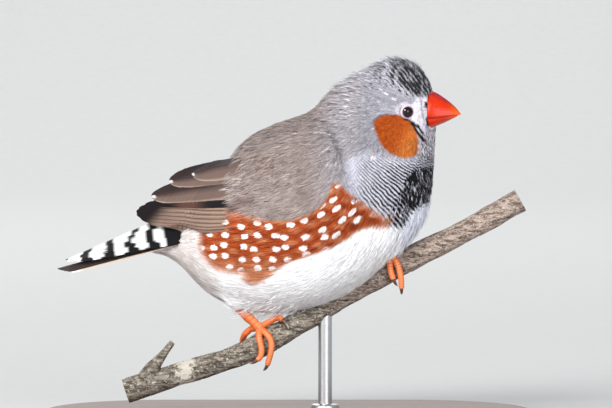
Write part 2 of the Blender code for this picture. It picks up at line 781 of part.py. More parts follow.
def build():
    clear_scene()
    finch = new_collection("zebra_finch")
    new_collection("cutters")
    bird = bpy.data.objects.new("bird_pose", None)
    finch.objects.link(bird)
    bird.location = (BIRD_X, 0, 0)
    bird.rotation_euler = (0, 0, -BODY_TURN)

    perch_cutter = build_stand_and_perch(finch)
    body = hidden(body_form("body_form"), "body_form", bird)
    body_cutter = hidden(body_form("body_cutter", GAP), "body_cutter", bird)
    tree = tree_of(body)
    bpy.context.view_layer.update()

    build_head(body, tree, finch, bird)
    trunk = sliced(body, "trunk", [cut_plane(NECK_CUT)])
    trunk.parent = bird
    trunk = build_tail(trunk, finch, bird)
    build_wings(tree, finch, bird)
    trunk = combine(trunk, perch_cutter, "DIFFERENCE")
    thigh = ball("thigh_right", mm(*THIGH_CENTRE), THIGH_RADIUS, (1.1, 0.9, 1.0))
    thigh.parent = bird
    thigh = combine(thigh, body_cutter, "DIFFERENCE")
    for foot in ("right", "left"):
        trunk, sleeve = build_leg(foot, trunk, finch)
        if foot == "right":
            thigh = combine(thigh, sleeve, "DIFFERENCE")
    show(without_crumbs(trunk), "trunk", "belly_plumage", finch)
    show(without_crumbs(thigh), "thigh_right", "belly_plumage", finch)


build()
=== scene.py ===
# %% [markdown]
# # A zebra finch on its cut branch
#
# This notebook dresses a measured model of a small songbird: a male zebra finch that grips a short
# length of branch on a plain museum stand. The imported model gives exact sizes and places. Every
# piece below is built in the same space, so nothing has to be fitted afterwards.

import math

import bpy
import numpy as np
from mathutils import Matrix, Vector, noise
from mathutils.bvhtree import BVHTree


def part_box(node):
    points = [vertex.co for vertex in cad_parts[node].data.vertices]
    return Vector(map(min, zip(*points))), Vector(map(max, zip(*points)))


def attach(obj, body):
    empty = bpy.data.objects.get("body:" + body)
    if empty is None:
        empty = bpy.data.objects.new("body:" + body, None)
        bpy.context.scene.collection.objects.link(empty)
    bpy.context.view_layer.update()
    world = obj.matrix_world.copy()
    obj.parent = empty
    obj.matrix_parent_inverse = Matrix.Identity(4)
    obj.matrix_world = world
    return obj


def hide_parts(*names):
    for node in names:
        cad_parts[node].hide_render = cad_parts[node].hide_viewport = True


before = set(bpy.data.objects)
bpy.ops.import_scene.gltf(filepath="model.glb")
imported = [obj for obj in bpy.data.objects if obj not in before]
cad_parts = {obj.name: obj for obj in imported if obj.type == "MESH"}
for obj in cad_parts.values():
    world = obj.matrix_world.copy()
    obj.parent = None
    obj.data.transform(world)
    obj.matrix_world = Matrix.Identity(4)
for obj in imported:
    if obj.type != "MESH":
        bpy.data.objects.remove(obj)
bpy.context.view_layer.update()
print("pieces in the frame:", len(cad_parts))

# %% [markdown]
# ## Two sets of directions
#
# The bird sits at a slight angle on the stand, and its head is turned a little further. It is much
# easier to think of a bird that faces straight along X, so the work is done in millimetres in the
# bird's own directions. One small turn at the end puts each point in its place in the room.

# %% The bird's own directions
MM = 0.001
BIRD_X = 2.6
BODY_TURN = math.radians(10)
HEAD_TURN = math.radians(7)
HEAD_PIVOT_X = 12.0


def turned(points, angle, pivot=0.0):
    """Points turned about an upright line through (pivot, 0)."""
    points = np.asarray(points, float)
    x, y = points[..., 0] - pivot, points[..., 1]
    c, s = np.cos(angle), np.sin(angle)
    return np.stack([pivot + x * c + y * s, y * c - x * s, points[..., 2]], -1)


def to_room(points):
    """Bird millimetres to metres in the room."""
    return (turned(points, BODY_TURN) + (BIRD_X, 0, 0)) * MM


def to_bird(points):
    """Metres in the room to bird millimetres."""
    return turned(np.asarray(points, float) / MM - (BIRD_X, 0, 0), -BODY_TURN)


print("bill tip in the room, mm:", to_room(turned([38.1, 0, 73.4], HEAD_TURN, HEAD_PIVOT_X)) / MM)

# %% [markdown]
# ## Camera, light and floor
#
# A long lens from a metre and a half away flattens the bird just as the picture does. Large soft
# panels stand in for the open sky: a strong one high on the left, a weaker one on the right, and
# one behind that draws a thin bright edge along the back. A small one puts a glint in the eye, and
# one lights the paper. The floor curves up into the backdrop, the way a photographer hangs a paper
# roll, so no line shows behind the bird.

# %% Camera
AIM = Vector((4.02, 0.0, 52.36)) * MM
CAMERA_DISTANCE = 1.5
CAMERA_HEIGHT_ANGLE = math.radians(3.0)
LENS = 383.8

to_camera = Vector((0, -math.cos(CAMERA_HEIGHT_ANGLE), math.sin(CAMERA_HEIGHT_ANGLE)))
eye_point = AIM + to_camera * CAMERA_DISTANCE
camera = bpy.data.objects.new("camera", bpy.data.cameras.new("camera"))
camera.data.lens = LENS
camera.data.sensor_width = 36
camera.data.clip_start = 0.05
camera.location = eye_point
camera.rotation_euler = (AIM - eye_point).to_track_quat("-Z", "Y").to_euler()
bpy.context.scene.collection.objects.link(camera)
bpy.context.scene.camera = camera
print("camera at", tuple(round(v, 3) for v in eye_point))

# %% Soft panels of light
def soft_panel(name, place, size, watts, colour, target=AIM):
    """A square soft light that faces the bird, or another place."""
    light = bpy.data.lights.new(name, "AREA")
    light.shape = "SQUARE"
    light.size = size
    light.energy = watts
    light.color = colour
    lamp = bpy.data.objects.new(name, light)
    lamp.location = place
    lamp.rotation_euler = (Vector(target) - Vector(place)).to_track_quat("-Z", "Y").to_euler()
    bpy.context.scene.collection.objects.link(lamp)


WHITE_LIGHT = (1.0, 1.0, 1.0)
SKY = (0.86, 0.92, 1.0, 1)
SKY_STRENGTH = 0.46
# Each panel's place and side in metres, its watts and its colour; the last one lights the paper
soft_panel("key_panel", (-0.45, -0.98, 0.66), 0.40, 14.6, (1.0, 0.985, 0.96))
soft_panel("low_panel", (0.50, -1.05, 0.32), 0.60, 7.6, (0.95, 0.97, 1.0))
soft_panel("rim_panel", (-0.25, 0.80, 0.85), 0.50, 3.8, WHITE_LIGHT)
soft_panel("eye_panel", (-1.00, -0.78, 0.28), 0.16, 2.5, WHITE_LIGHT)
soft_panel("paper_panel", (0.0, 1.25, 0.85), 1.20, 6.5, WHITE_LIGHT, (0.0, 1.251, 0.0))

world = bpy.data.worlds.new("studio")
world.use_nodes = True
sky = world.node_tree.nodes["Background"]
sky.inputs["Color"].default_value = SKY
sky.inputs["Strength"].default_value = SKY_STRENGTH
bpy.context.scene.world = world
bpy.context.scene.view_settings.view_transform = "Standard"
print("five soft panels and a pale sky")

# %% A hand-sized box of tools for finishes
def srgb(red, green, blue):
    """A colour given in 0 to 255 steps, as linear light for Blender."""
    steps = np.array([red, green, blue], float) / 255
    return np.where(steps <= 0.04045, steps / 12.92, ((steps + 0.055) / 1.055) ** 2.4)


class Finish:
    """One material: its main shader, and short names for the nodes used below.

    More settings are inputs of the main shader in small letters, such as sheen_weight."""

    def __init__(self, name, roughness, specular=0.5, **more):
        self.material = bpy.data.materials.new(name)
        self.material.use_nodes = True
        self.nodes = self.material.node_tree.nodes
        self.shader = self.nodes["Principled BSDF"]
        self.shader.inputs["Roughness"].default_value = roughness
        self.shader.inputs["Specular IOR Level"].default_value = specular
        for place, value in more.items():
            self.shader.inputs[place.replace("_", " ").title()].default_value = value

    def wire(self, kind, feeds, **options):
        """Adds one node, sets its options and plugs its inputs; a feed is a value or a socket."""
        made = self.nodes.new(kind)
        for option, value in options.items():
            setattr(made, option, value)
        for place, value in feeds.items():
            if isinstance(value, bpy.types.NodeSocket):
                self.material.node_tree.links.new(value, made.inputs[place])
            else:
                made.inputs[place].default_value = value
        return made.outputs

    def plug(self, socket, place="Base Color"):
        """Feeds one input of the main shader."""
        self.material.node_tree.links.new(socket, self.shader.inputs[place])

    def maths(self, operation, *values):
        """One sum."""
        return self.wire("ShaderNodeMath", dict(enumerate(values)), operation=operation)[0]

    def stored(self, name, output="Fac"):
        """A value that was stored on the mesh."""
        return self.wire("ShaderNodeAttribute", {}, attribute_name=name)[output]

    def blend(self, share, first, second, way="MIX"):
        """Two colours mixed by a share; a colour is three numbers or a socket."""
        pair = [c if isinstance(c, bpy.types.NodeSocket) else (*c, 1) for c in (first, second)]
        feeds = {0: share, 6: pair[0], 7: pair[1]}
        return self.wire("ShaderNodeMix", feeds, data_type="RGBA", blend_type=way)[2]

    def between(self, value, low, high):
        """0 below low, 1 above high and a smooth ramp between."""
        feeds = {"Value": value, "From Min": low, "From Max": high}
        return self.wire("ShaderNodeMapRange", feeds, interpolation_type="SMOOTHSTEP")["Result"]

    def stretched(self, place, scale):
        """A place scaled along each axis, so that a pattern on it is drawn out."""
        return self.wire("ShaderNodeMapping", {"Vector": place, "Scale": scale})[0]

    def speckle(self, place, scale, detail=3.0, roughness=0.5):
        """Cloudy noise between 0 and 1."""
        feeds = {"Vector": place, "Scale": scale, "Detail": detail, "Roughness": roughness}
        return self.wire("ShaderNodeTexNoise", feeds)["Fac"]

    def grey(self, tone):
        """A number as a grey."""
        return self.wire("ShaderNodeCombineColor", {0: tone, 1: tone, 2: tone})[0]

    def tint_ground(self, noise, low, high):
        """The colour stored on the mesh, tinted between two colours by a noise."""
        tint = self.blend(noise, low, high)
        self.plug(self.blend(1.0, self.stored("ground", "Color"), tint, "MULTIPLY"))

    def raise_bumps(self, height, strength, distance):
        """Sends a height to the shader as fine relief."""
        feeds = {"Height": height, "Strength": strength, "Distance": distance}
        self.plug(self.wire("ShaderNodeBump", feeds)["Normal"], "Normal")


print("white paper is", srgb(255, 255, 255), "and mid grey is", srgb(128, 128, 128).round(3))

# %% Paper floor and backdrop
paper = Finish("paper", 0.9, 0.2)
paper_place = paper.wire("ShaderNodeTexCoord", {})["Object"]
paper_grain = paper.speckle(paper_place, 300.0)
paper.plug(paper.blend(paper_grain, (0.56, 0.56, 0.55), (0.60, 0.60, 0.59)))

# Metres: where the floor starts, where it begins to curve, the curve's radius, and the paper's size
FLOOR_START, CURVE_START, CURVE_RADIUS = -2.5, 1.05, 0.75
PAPER_TOP, PAPER_HALF_WIDTH = 2.6, 3.0
CURVE_STEPS = 16
profile = [(FLOOR_START, 0.0), (CURVE_START, 0.0)]
for step in range(1, CURVE_STEPS + 1):
    angle = math.pi / 2 * step / CURVE_STEPS
    away = CURVE_START + CURVE_RADIUS * math.sin(angle)
    profile.append((away, CURVE_RADIUS - CURVE_RADIUS * math.cos(angle)))
profile.append((CURVE_START + CURVE_RADIUS, PAPER_TOP))
corners = [(x, y, z) for y, z in profile for x in (-PAPER_HALF_WIDTH, PAPER_HALF_WIDTH)]
strips = [(2 * k, 2 * k + 1, 2 * k + 3, 2 * k + 2) for k in range(len(profile) - 1)]
roll = bpy.data.meshes.new("paper_roll")
roll.from_pydata(corners, [], strips)
roll.shade_smooth()
roll.materials.append(paper.material)
backdrop = bpy.data.objects.new("paper_roll", roll)
bpy.context.scene.collection.objects.link(backdrop)
print("backdrop of", len(strips), "strips")

# %% [markdown]
# ## The skin
#
# Under its feathers a bird is one smooth form. Here the skin is a grid of rings, like barrel hoops
# from the tail to the bill. Each hoop is found by shooting rays from outside towards the middle of
# the measured body and keeping the first hit. Small pockets, such as the eye sockets, are closed by
# growing the heights and shrinking them again, which fills a pit but leaves a hill as it is.

# %% Where the hoops lie
# Upper edge x, z, lower edge x, z and half width of each hoop, from the tail to the bill
HOOPS = np.array([
    (-35.2, 42.5, -36.2, 41.0, 1.3), (-26.1, 47.6, -28.4, 38.8, 5.8), (-22.1, 53.7, -25.4, 35.3, 10.0),
    (-17.1, 61.8, -20.9, 30.5, 14.8), (-10.1, 69.4, -12.0, 26.7, 18.4), (-2.7, 72.3, 0.3, 26.6, 20.2),
    (2.6, 73.3, 12.3, 30.8, 19.8), (5.3, 76.4, 20.8, 38.4, 17.9), (7.7, 79.0, 26.8, 44.9, 15.6),
    (10.7, 81.0, 30.2, 51.0, 13.1), (14.0, 82.6, 30.6, 56.7, 10.9), (18.0, 84.4, 30.9, 61.8, 9.5),
    (22.0, 86.0, 30.9, 65.2, 8.7), (25.9, 85.3, 30.9, 67.8, 7.8), (28.9, 82.8, 31.2, 69.4, 6.1),
    (30.1, 79.7, 30.9, 70.2, 4.3), (30.9, 78.6, 31.35, 70.4, 3.95),
])
HOOP_STEPS = 20
HOOP_POINTS = 180


def ease(value, low, high):
    """0 below low, 1 above high and a smooth ramp between."""
    share = np.clip((value - low) / (high - low), 0, 1)
    return share * share * (3 - 2 * share)


def curve_through(points, steps):
    """A smooth curve through every point, with this many steps between two."""
    points = np.asarray(points, float)
    padded = np.vstack([2 * points[0] - points[1], points, 2 * points[-1] - points[-2]])
    share = (np.arange(steps) / steps)[:, None]
    parts = []
    for a, b, c, d in zip(padded, padded[1:], padded[2:], padded[3:]):
        parts.append(0.5 * (2 * b + (c - a) * share + (2 * a - 5 * b + 4 * c - d) * share**2
                            + (3 * b - a - 3 * c + d) * share**3))
    return np.vstack(parts + [points[-1:]])


hoops = curve_through(HOOPS, HOOP_STEPS)
hoop_number = np.linspace(0, len(HOOPS) - 1, len(hoops))
head_share = ease(hoop_number, 6.5, 11.5)
print(len(hoops), "hoops of", HOOP_POINTS, "points")

# %% Rays on to the measured body
def measured(*names):
    """A search tree of measured pieces, in bird millimetres."""
    points, faces = [], []
    for name in names:
        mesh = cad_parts[name].data
        start = len(points)
        points += [tuple(p) for p in to_bird([v.co for v in mesh.vertices])]
        faces += [tuple(start + i for i in face.vertices) for face in mesh.polygons]
    return BVHTree.FromPolygons(points, faces)


def stretch_out(heights, rounds, best):
    """Each height takes the best of its neighbours, over and over."""
    for _ in range(rounds):
        heights = best(heights, best(np.roll(heights, 1, 1), np.roll(heights, -1, 1)))
        padded = np.pad(heights, ((1, 1), (0, 0)), mode="edge")
        heights = best(heights, best(padded[:-2], padded[2:]))
    return heights


def ironed(heights, rounds):
    """Heights or points averaged with their neighbours, over and over."""
    for _ in range(rounds):
        padded = np.pad(heights, [(1, 1)] + [(0, 0)] * (heights.ndim - 1), mode="edge")
        heights = heights / 2 + (padded[:-2] + padded[2:]) / 4
        heights = heights / 2 + (np.roll(heights, 1, 1) + np.roll(heights, -1, 1)) / 4
    return heights


FLESH = ("head", "neck", "trunk", "thigh_right", "wing_right_coverts", "wing_left_coverts",
         "bill_upper", "bill_lower")
PIT_ROUNDS = 9
PIT_DEPTH = 0.25
BROW, BILL_BASE, RUMP_HOOP = 13.6, 16.0, 3.5
OVAL_SPARE, TAIL_OVAL, RUMP_RISE, THROAT_TUCK = 0.1, 0.92, 1.0, 0.6

flesh = measured(*FLESH)
angles = np.arange(HOOP_POINTS) * 2 * math.pi / HOOP_POINTS
top_x, top_z, bottom_x, bottom_z, half_widths = hoops.T
middles = np.stack([(top_x + bottom_x) / 2, 0 * top_x, (top_z + bottom_z) / 2], -1)
ups = np.stack([top_x - bottom_x, 0 * top_x, top_z - bottom_z], -1)
half_heights = np.linalg.norm(ups, axis=1) / 2
ups /= 2 * half_heights[:, None]
sideways = np.sin(angles)[None, :, None] * np.array([0, 1, 0])
spokes = np.cos(angles)[None, :, None] * ups[:, None, :] + sideways
spokes = turned(spokes, HEAD_TURN * head_share[:, None])
middles = turned(middles, HEAD_TURN * head_share, HEAD_PIVOT_X)
radii = np.zeros(spokes.shape[:2])
for row in range(len(hoops)):
    reach = 1.25 * max(half_heights[row], half_widths[row]) + 4.0
    centre = Vector(middles[row])
    for column in range(HOOP_POINTS):
        spoke = Vector(spokes[row, column])
        found = flesh.ray_cast(centre + spoke * reach, -spoke, reach)[0]
        radii[row, column] = (found - centre).length if found else 0.0

closed = stretch_out(stretch_out(radii, PIT_ROUNDS, np.maximum), PIT_ROUNDS, np.minimum)
pits = ironed(stretch_out((closed - radii > PIT_DEPTH).astype(float), 3, np.maximum), 2)
pits = pits * ease(-hoop_number, -14.8, -14.4)[:, None]
radii = ironed(radii + (closed - radii) * pits, 3)
# The last hoops wrap the bill's base as plain ovals, and a bridge leads there from the brow
across, upright = np.sin(angles) / half_widths[:, None], np.cos(angles) / half_heights[:, None]
oval = 1 / np.sqrt(upright**2 + across**2)
radii += ease(hoop_number, 15.2, 15.9)[:, None] * np.maximum(oval + OVAL_SPARE - radii, 0)
brow = int(np.searchsorted(hoop_number, BROW))
bridge = np.clip((hoop_number - BROW) / (BILL_BASE - BROW), 0, 1)[:, None]
radii[brow:] = np.maximum(radii, radii[brow] * (1 - bridge) + radii[-1] * bridge)[brow:]
# The first hoops taper to the tail
radii = np.maximum(radii, TAIL_OVAL * oval * ease(1.3 - hoop_number, 0.0, 0.3)[:, None])
# The rump stands a little higher than measured, where the shoulder feathers lie over it
on_rump = np.exp(-(((hoop_number - RUMP_HOOP) / 0.6) ** 2))[:, None]
radii += on_rump * ease(spokes[..., 2], 0.3, 0.8) * RUMP_RISE
outer = middles[:, None, :] + spokes * radii[:, :, None]
height = outer[..., 2]
at_throat = ease(spokes[..., 0], 0.4, 0.8) * ease(height, 49.0, 54.0) * ease(-height, -69.0, -64.0)
outer = outer - spokes * (THROAT_TUCK * at_throat)[..., None]
print("radii from", radii.min().round(2), "to", radii.max().round(2), "mm; pit share", pits.mean().round(3))

# %% [markdown]
# ## A ground for feathers
#
# A feather needs to know which way is out, which way the coat lies, and how to walk along the
# surface. All of that is kept on the grid and read between its points, so that a barb can be bent
# along the body step by step, however round the body is.

# %% The ground
TINY = 1e-9


def dot(first, second):
    """The dot product of each pair of directions."""
    return (first * second).sum(-1)


def unit(directions):
    """Directions scaled to a length of one."""
    return directions / (np.linalg.norm(directions, axis=-1, keepdims=True) + TINY)


class Ground:
    """A surface that feathers grow on: points, slopes, outward side and whatever else is stored."""

    def __init__(self, points, ring, outward=1.0):
        self.points = points
        self.ring = ring
        self.size = points.shape[:2]
        self.slope_v = np.gradient(points, axis=0)
        if ring:
            self.slope_t = (np.roll(points, -1, 1) - np.roll(points, 1, 1)) / 2
        else:
            self.slope_t = np.gradient(points, axis=1)
        out = np.cross(self.slope_v, self.slope_t) * outward
        self.out = unit(ironed(unit(out), 2))

    def read(self, field, v, t):
        """A stored field at places between the grid's points."""
        v = np.clip(v, 0, self.size[0] - 1.001)
        t = t % self.size[1] if self.ring else np.clip(t, 0, self.size[1] - 1.001)
        row, column = np.floor(v).astype(int), np.floor(t).astype(int) % self.size[1]
        after = (column + 1) % self.size[1]
        f, g = v - np.floor(v), t - np.floor(t)
        if field.ndim == 3:
            f, g = f[..., None], g[..., None]
        near = field[row, column] * (1 - g) + field[row, after] * g
        far = field[row + 1, column] * (1 - g) + field[row + 1, after] * g
        return near * (1 - f) + far * f

    def walk(self, v, t, way, length):
        """The grid place reached by walking this far along a direction that lies on the surface."""
        down, along = self.read(self.slope_v, v, t), self.read(self.slope_t, v, t)
        down_down, down_along, along_along = dot(down, down), dot(down, along), dot(along, along)
        way_down, way_along = dot(way, down), dot(way, along)
        share = length / (down_down * along_along - down_along**2 + TINY)
        v_step = (way_down * along_along - way_along * down_along) * share
        t_step = (way_along * down_down - way_down * down_along) * share
        return v + v_step, t + t_step


body = Ground(outer, ring=True)
outside_share = (dot(body.out, spokes) > 0).mean()
unturned = turned(outer, -HEAD_TURN * head_share[:, None], HEAD_PIVOT_X)
body.place = np.stack([unturned[..., 0], unturned[..., 2], np.abs(unturned[..., 1])], -1)
print("grid", body.size, "facing out:", round(float(outside_share), 3))

# %% [markdown]
# ## The lie of the coat
#
# Stroke a bird and the feathers point away from the bill: back over the crown, down the throat,
# and along the belly to the tail. A few dozen combing strokes, each a place seen from the side
# and an angle, set the whole coat, and every other place takes a mix of the strokes near it.

# %% Combing strokes
# x, z and the way the feathers point: 0 to the bill, 90 up, 180 to the tail, 270 down
STROKES = np.array([
    (31, 76, 165), (30.5, 79.5, 118), (29, 82, 116), (26.5, 84.5, 122), (23, 85, 136), (26, 80.5, 132),
    (19, 84, 156), (15, 82, 172), (11, 79, 194), (5, 75, 212), (-5, 71, 213), (-14, 64, 218),
    (-22, 54, 216), (22, 74, 192), (23.5, 79, 146), (19, 79, 168), (15, 76, 196), (20, 76, 184),
    (22, 68, 238), (27, 68, 258), (27, 72, 215), (30, 69, 268), (31, 60, 264), (25, 58, 246),
    (15, 66, 226), (10, 72, 216), (12, 60, 226), (29, 50, 256), (20, 50, 232), (25, 42, 238),
    (20, 37, 216), (5, 29, 190),
    (-10, 30, 168), (-22, 36, 156), (-30, 41, 168), (14, 52, 222), (10, 45, 206), (0, 42, 194),
    (-10, 42, 184), (-20, 45, 180), (0, 58, 206), (-8, 52, 196), (14, 33, 206)])


def lie_of(place):
    """The way feathers point at places seen from the side, as unit x, z pairs."""
    total = np.zeros(place.shape[:-1] + (2,))
    for x, z, angle in STROKES:
        near = 1 / ((place[..., 0] - x) ** 2 + (place[..., 1] - z) ** 2 + 6.0) ** 2
        way = (math.cos(math.radians(angle)), math.sin(math.radians(angle)))
        total += near[..., None] * np.array(way)
    return total / np.linalg.norm(total, axis=-1, keepdims=True)


def comb(ground, turn=0.0):
    """Stores the lie of the coat on a ground."""
    flat = lie_of(ground.place)
    way = np.stack([flat[..., 0], 0 * flat[..., 0], flat[..., 1]], -1)
    way = turned(way, turn)
    way = way - dot(way, ground.out)[..., None] * ground.out
    ground.lie = unit(ironed(way, 2))


comb(body, HEAD_TURN * head_share[:, None])
print("combed; mean way", body.lie.mean((0, 1)).round(2))

# %% [markdown]
# ## Markings
#
# A male zebra finch wears many patterns at once. Each is an outline on the side of the bird, in
# millimetres, the same on both sides. The distance to each outline is worked out once for the
# grid, and a colour is then picked from those distances, so an edge can be soft, sharp or ragged.

# %% Outlines of the markings, x and z seen from the side
OUTLINES = {
    "cheek": [(20.2, 71.2), (20.5, 72.3), (21.4, 73.0), (23.3, 73.5), (25.5, 73.5), (27.3, 72.9),
              (28.6, 72.0), (29.4, 70.5), (29.75, 69.0), (30.1, 67.7), (30.1, 66.3), (29.8, 65.0),
              (29.2, 64.1), (27.5, 63.5), (25.9, 63.9), (24.1, 64.8), (22.6, 66.0), (21.5, 67.8),
              (20.8, 69.6)],
    "lore": [(28.6, 73.4), (28.6, 75.6), (29.5, 76.9), (30.6, 77.3), (33.0, 77.2), (33.0, 66.6),
             (30.8, 66.8), (30.6, 67.6), (30.3, 68.6), (29.85, 69.5), (29.55, 70.4), (29.3, 71.2),
             (28.9, 72.2)],
    "crown": [(23.0, 88.0), (27.0, 88.0), (31.0, 84.0), (33.5, 80.1), (33.5, 77.5), (31.0, 77.3),
              (29.4, 77.2), (28.0, 77.6), (26.4, 78.6), (24.5, 79.8), (22.8, 81.2), (21.6, 82.4),
              (22.0, 85.0)],
    "bars": [(14.3, 62.9), (18.5, 64.6), (24.3, 63.0), (28.8, 62.6), (34.0, 65.4), (34.0, 60.7),
             (34.0, 54.5), (29.5, 53.0), (27.4, 51.6), (25.7, 48.4), (24.3, 47.9), (22.8, 49.6),
             (20.9, 51.6), (17.6, 53.8), (14.4, 56.6)],
    "chestnut": [(11.1, 58.3), (12.6, 58.2), (14.2, 56.4), (15.9, 55.0), (18.5, 52.8),
                 (20.6, 51.2), (22.6, 49.6), (23.2, 47.9), (18.8, 47.9), (16.0, 46.9),
                 (13.5, 44.9), (10.5, 43.2), (4.9, 41.3), (-0.1, 39.6), (-3.3, 37.2), (-6.2, 35.2),
                 (-9.0, 34.6), (-10.4, 35.9), (-9.8, 37.4), (-12.9, 37.4), (-15.4, 37.7),
                 (-17.9, 38.6), (-20.3, 41.0), (-21.4, 43.2), (-21.0, 46.0), (-18.7, 48.2),
                 (-15.5, 51.3), (-11.6, 50.9), (-5.1, 49.5), (1.5, 49.6), (5.8, 50.9), (8.7, 53.3),
                 (10.2, 55.5)],
    "belly": [(-42.0, 52.0), (-26.0, 50.0), (-22.0, 47.0), (-18.0, 41.0), (-10.0, 38.0),
              (-3.0, 40.0), (10.0, 46.0), (18.0, 49.0), (22.6, 48.6), (25.4, 48.0), (27.4, 51.2),
              (29.5, 52.8), (35.0, 53.8), (35.0, 20.0), (-42.0, 20.0)],
}
# Lines: two black tear lines below the eye, and the middle of the black breast band
LINES = {
    "tear": [(27.2, 72.6), (28.2, 72.05), (29.0, 71.4), (29.35, 70.4), (29.7, 69.5), (30.15, 68.6),
             (30.5, 67.4)],
    "second tear": [(29.1, 71.3), (29.7, 71.0), (30.0, 70.4), (30.25, 69.8), (30.5, 69.1)],
    "band": [(35.0, 57.6), (30.5, 57.3), (29.2, 55.9), (26.1, 52.9), (24.6, 50.5), (24.2, 48.5)],
    "wing shadow": [(-13.2, 51.9), (-8.2, 54.4)],
}


def near_line(line, x, z):
    """Distance to the nearest stretch of a line."""
    best = np.full(x.shape, 1e9)
    for (ax, az), (bx, bz) in zip(line, line[1:]):
        dx, dz = bx - ax, bz - az
        share = np.clip(((x - ax) * dx + (z - az) * dz) / (dx * dx + dz * dz), 0, 1)
        best = np.minimum(best, (x - ax - share * dx) ** 2 + (z - az - share * dz) ** 2)
    return np.sqrt(best)


def within(outline, x, z):
    """Distance to an outline: above zero inside it, below zero outside."""
    ring = list(outline) + [outline[0]]
    odd = np.zeros(x.shape, bool)
    for (ax, az), (bx, bz) in zip(ring, ring[1:]):
        crosses = (az > z) != (bz > z)
        odd ^= crosses & (x < ax + (z - az) * (bx - ax) / (bz - az + 1e-12))
    distance = near_line(ring, x, z)
    return np.where(odd, distance, -distance)


def survey(ground):
    """Stores the distance to every marking on a ground."""
    x, z = ground.place[..., 0], ground.place[..., 1]
    ground.marks = np.stack([within(outline, x, z) for outline in OUTLINES.values()]
                            + [near_line(line, x, z) for line in LINES.values()], -1)


survey(body)
print("markings:", ", ".join(list(OUTLINES) + list(LINES)))

# %% Feather colours
HEAD_GREY = srgb(154, 152, 160)
NECK_GREY = srgb(168, 163, 167)
TAUPE = srgb(152, 138, 133)
RUMP = srgb(208, 204, 202)
CHEEK = srgb(172, 76, 12)
CHEEK_PALE = srgb(206, 124, 54)
CHEEK_RUST = srgb(142, 56, 10)
CHESTNUT = srgb(162, 68, 24)
CHESTNUT_DEEP = srgb(136, 48, 12)
CHESTNUT_PALE = srgb(212, 146, 104)
WHITE = srgb(255, 254, 255)
LORE_WHITE = srgb(236, 231, 240)
CREAM = srgb(228, 220, 217)
BREAST_WHITE = srgb(236, 239, 250)
BLACK = srgb(18, 16, 22)
CROWN_LIGHT = srgb(180, 178, 186)
CROWN_DARK = srgb(22, 20, 26)
EYE_MIDDLE = (27.2, 74.1)


def lay_over(colour, share, paint):
    """One paint laid over another by a share."""
    return colour + np.clip(share, 0, 1)[..., None] * (np.asarray(paint) - colour)


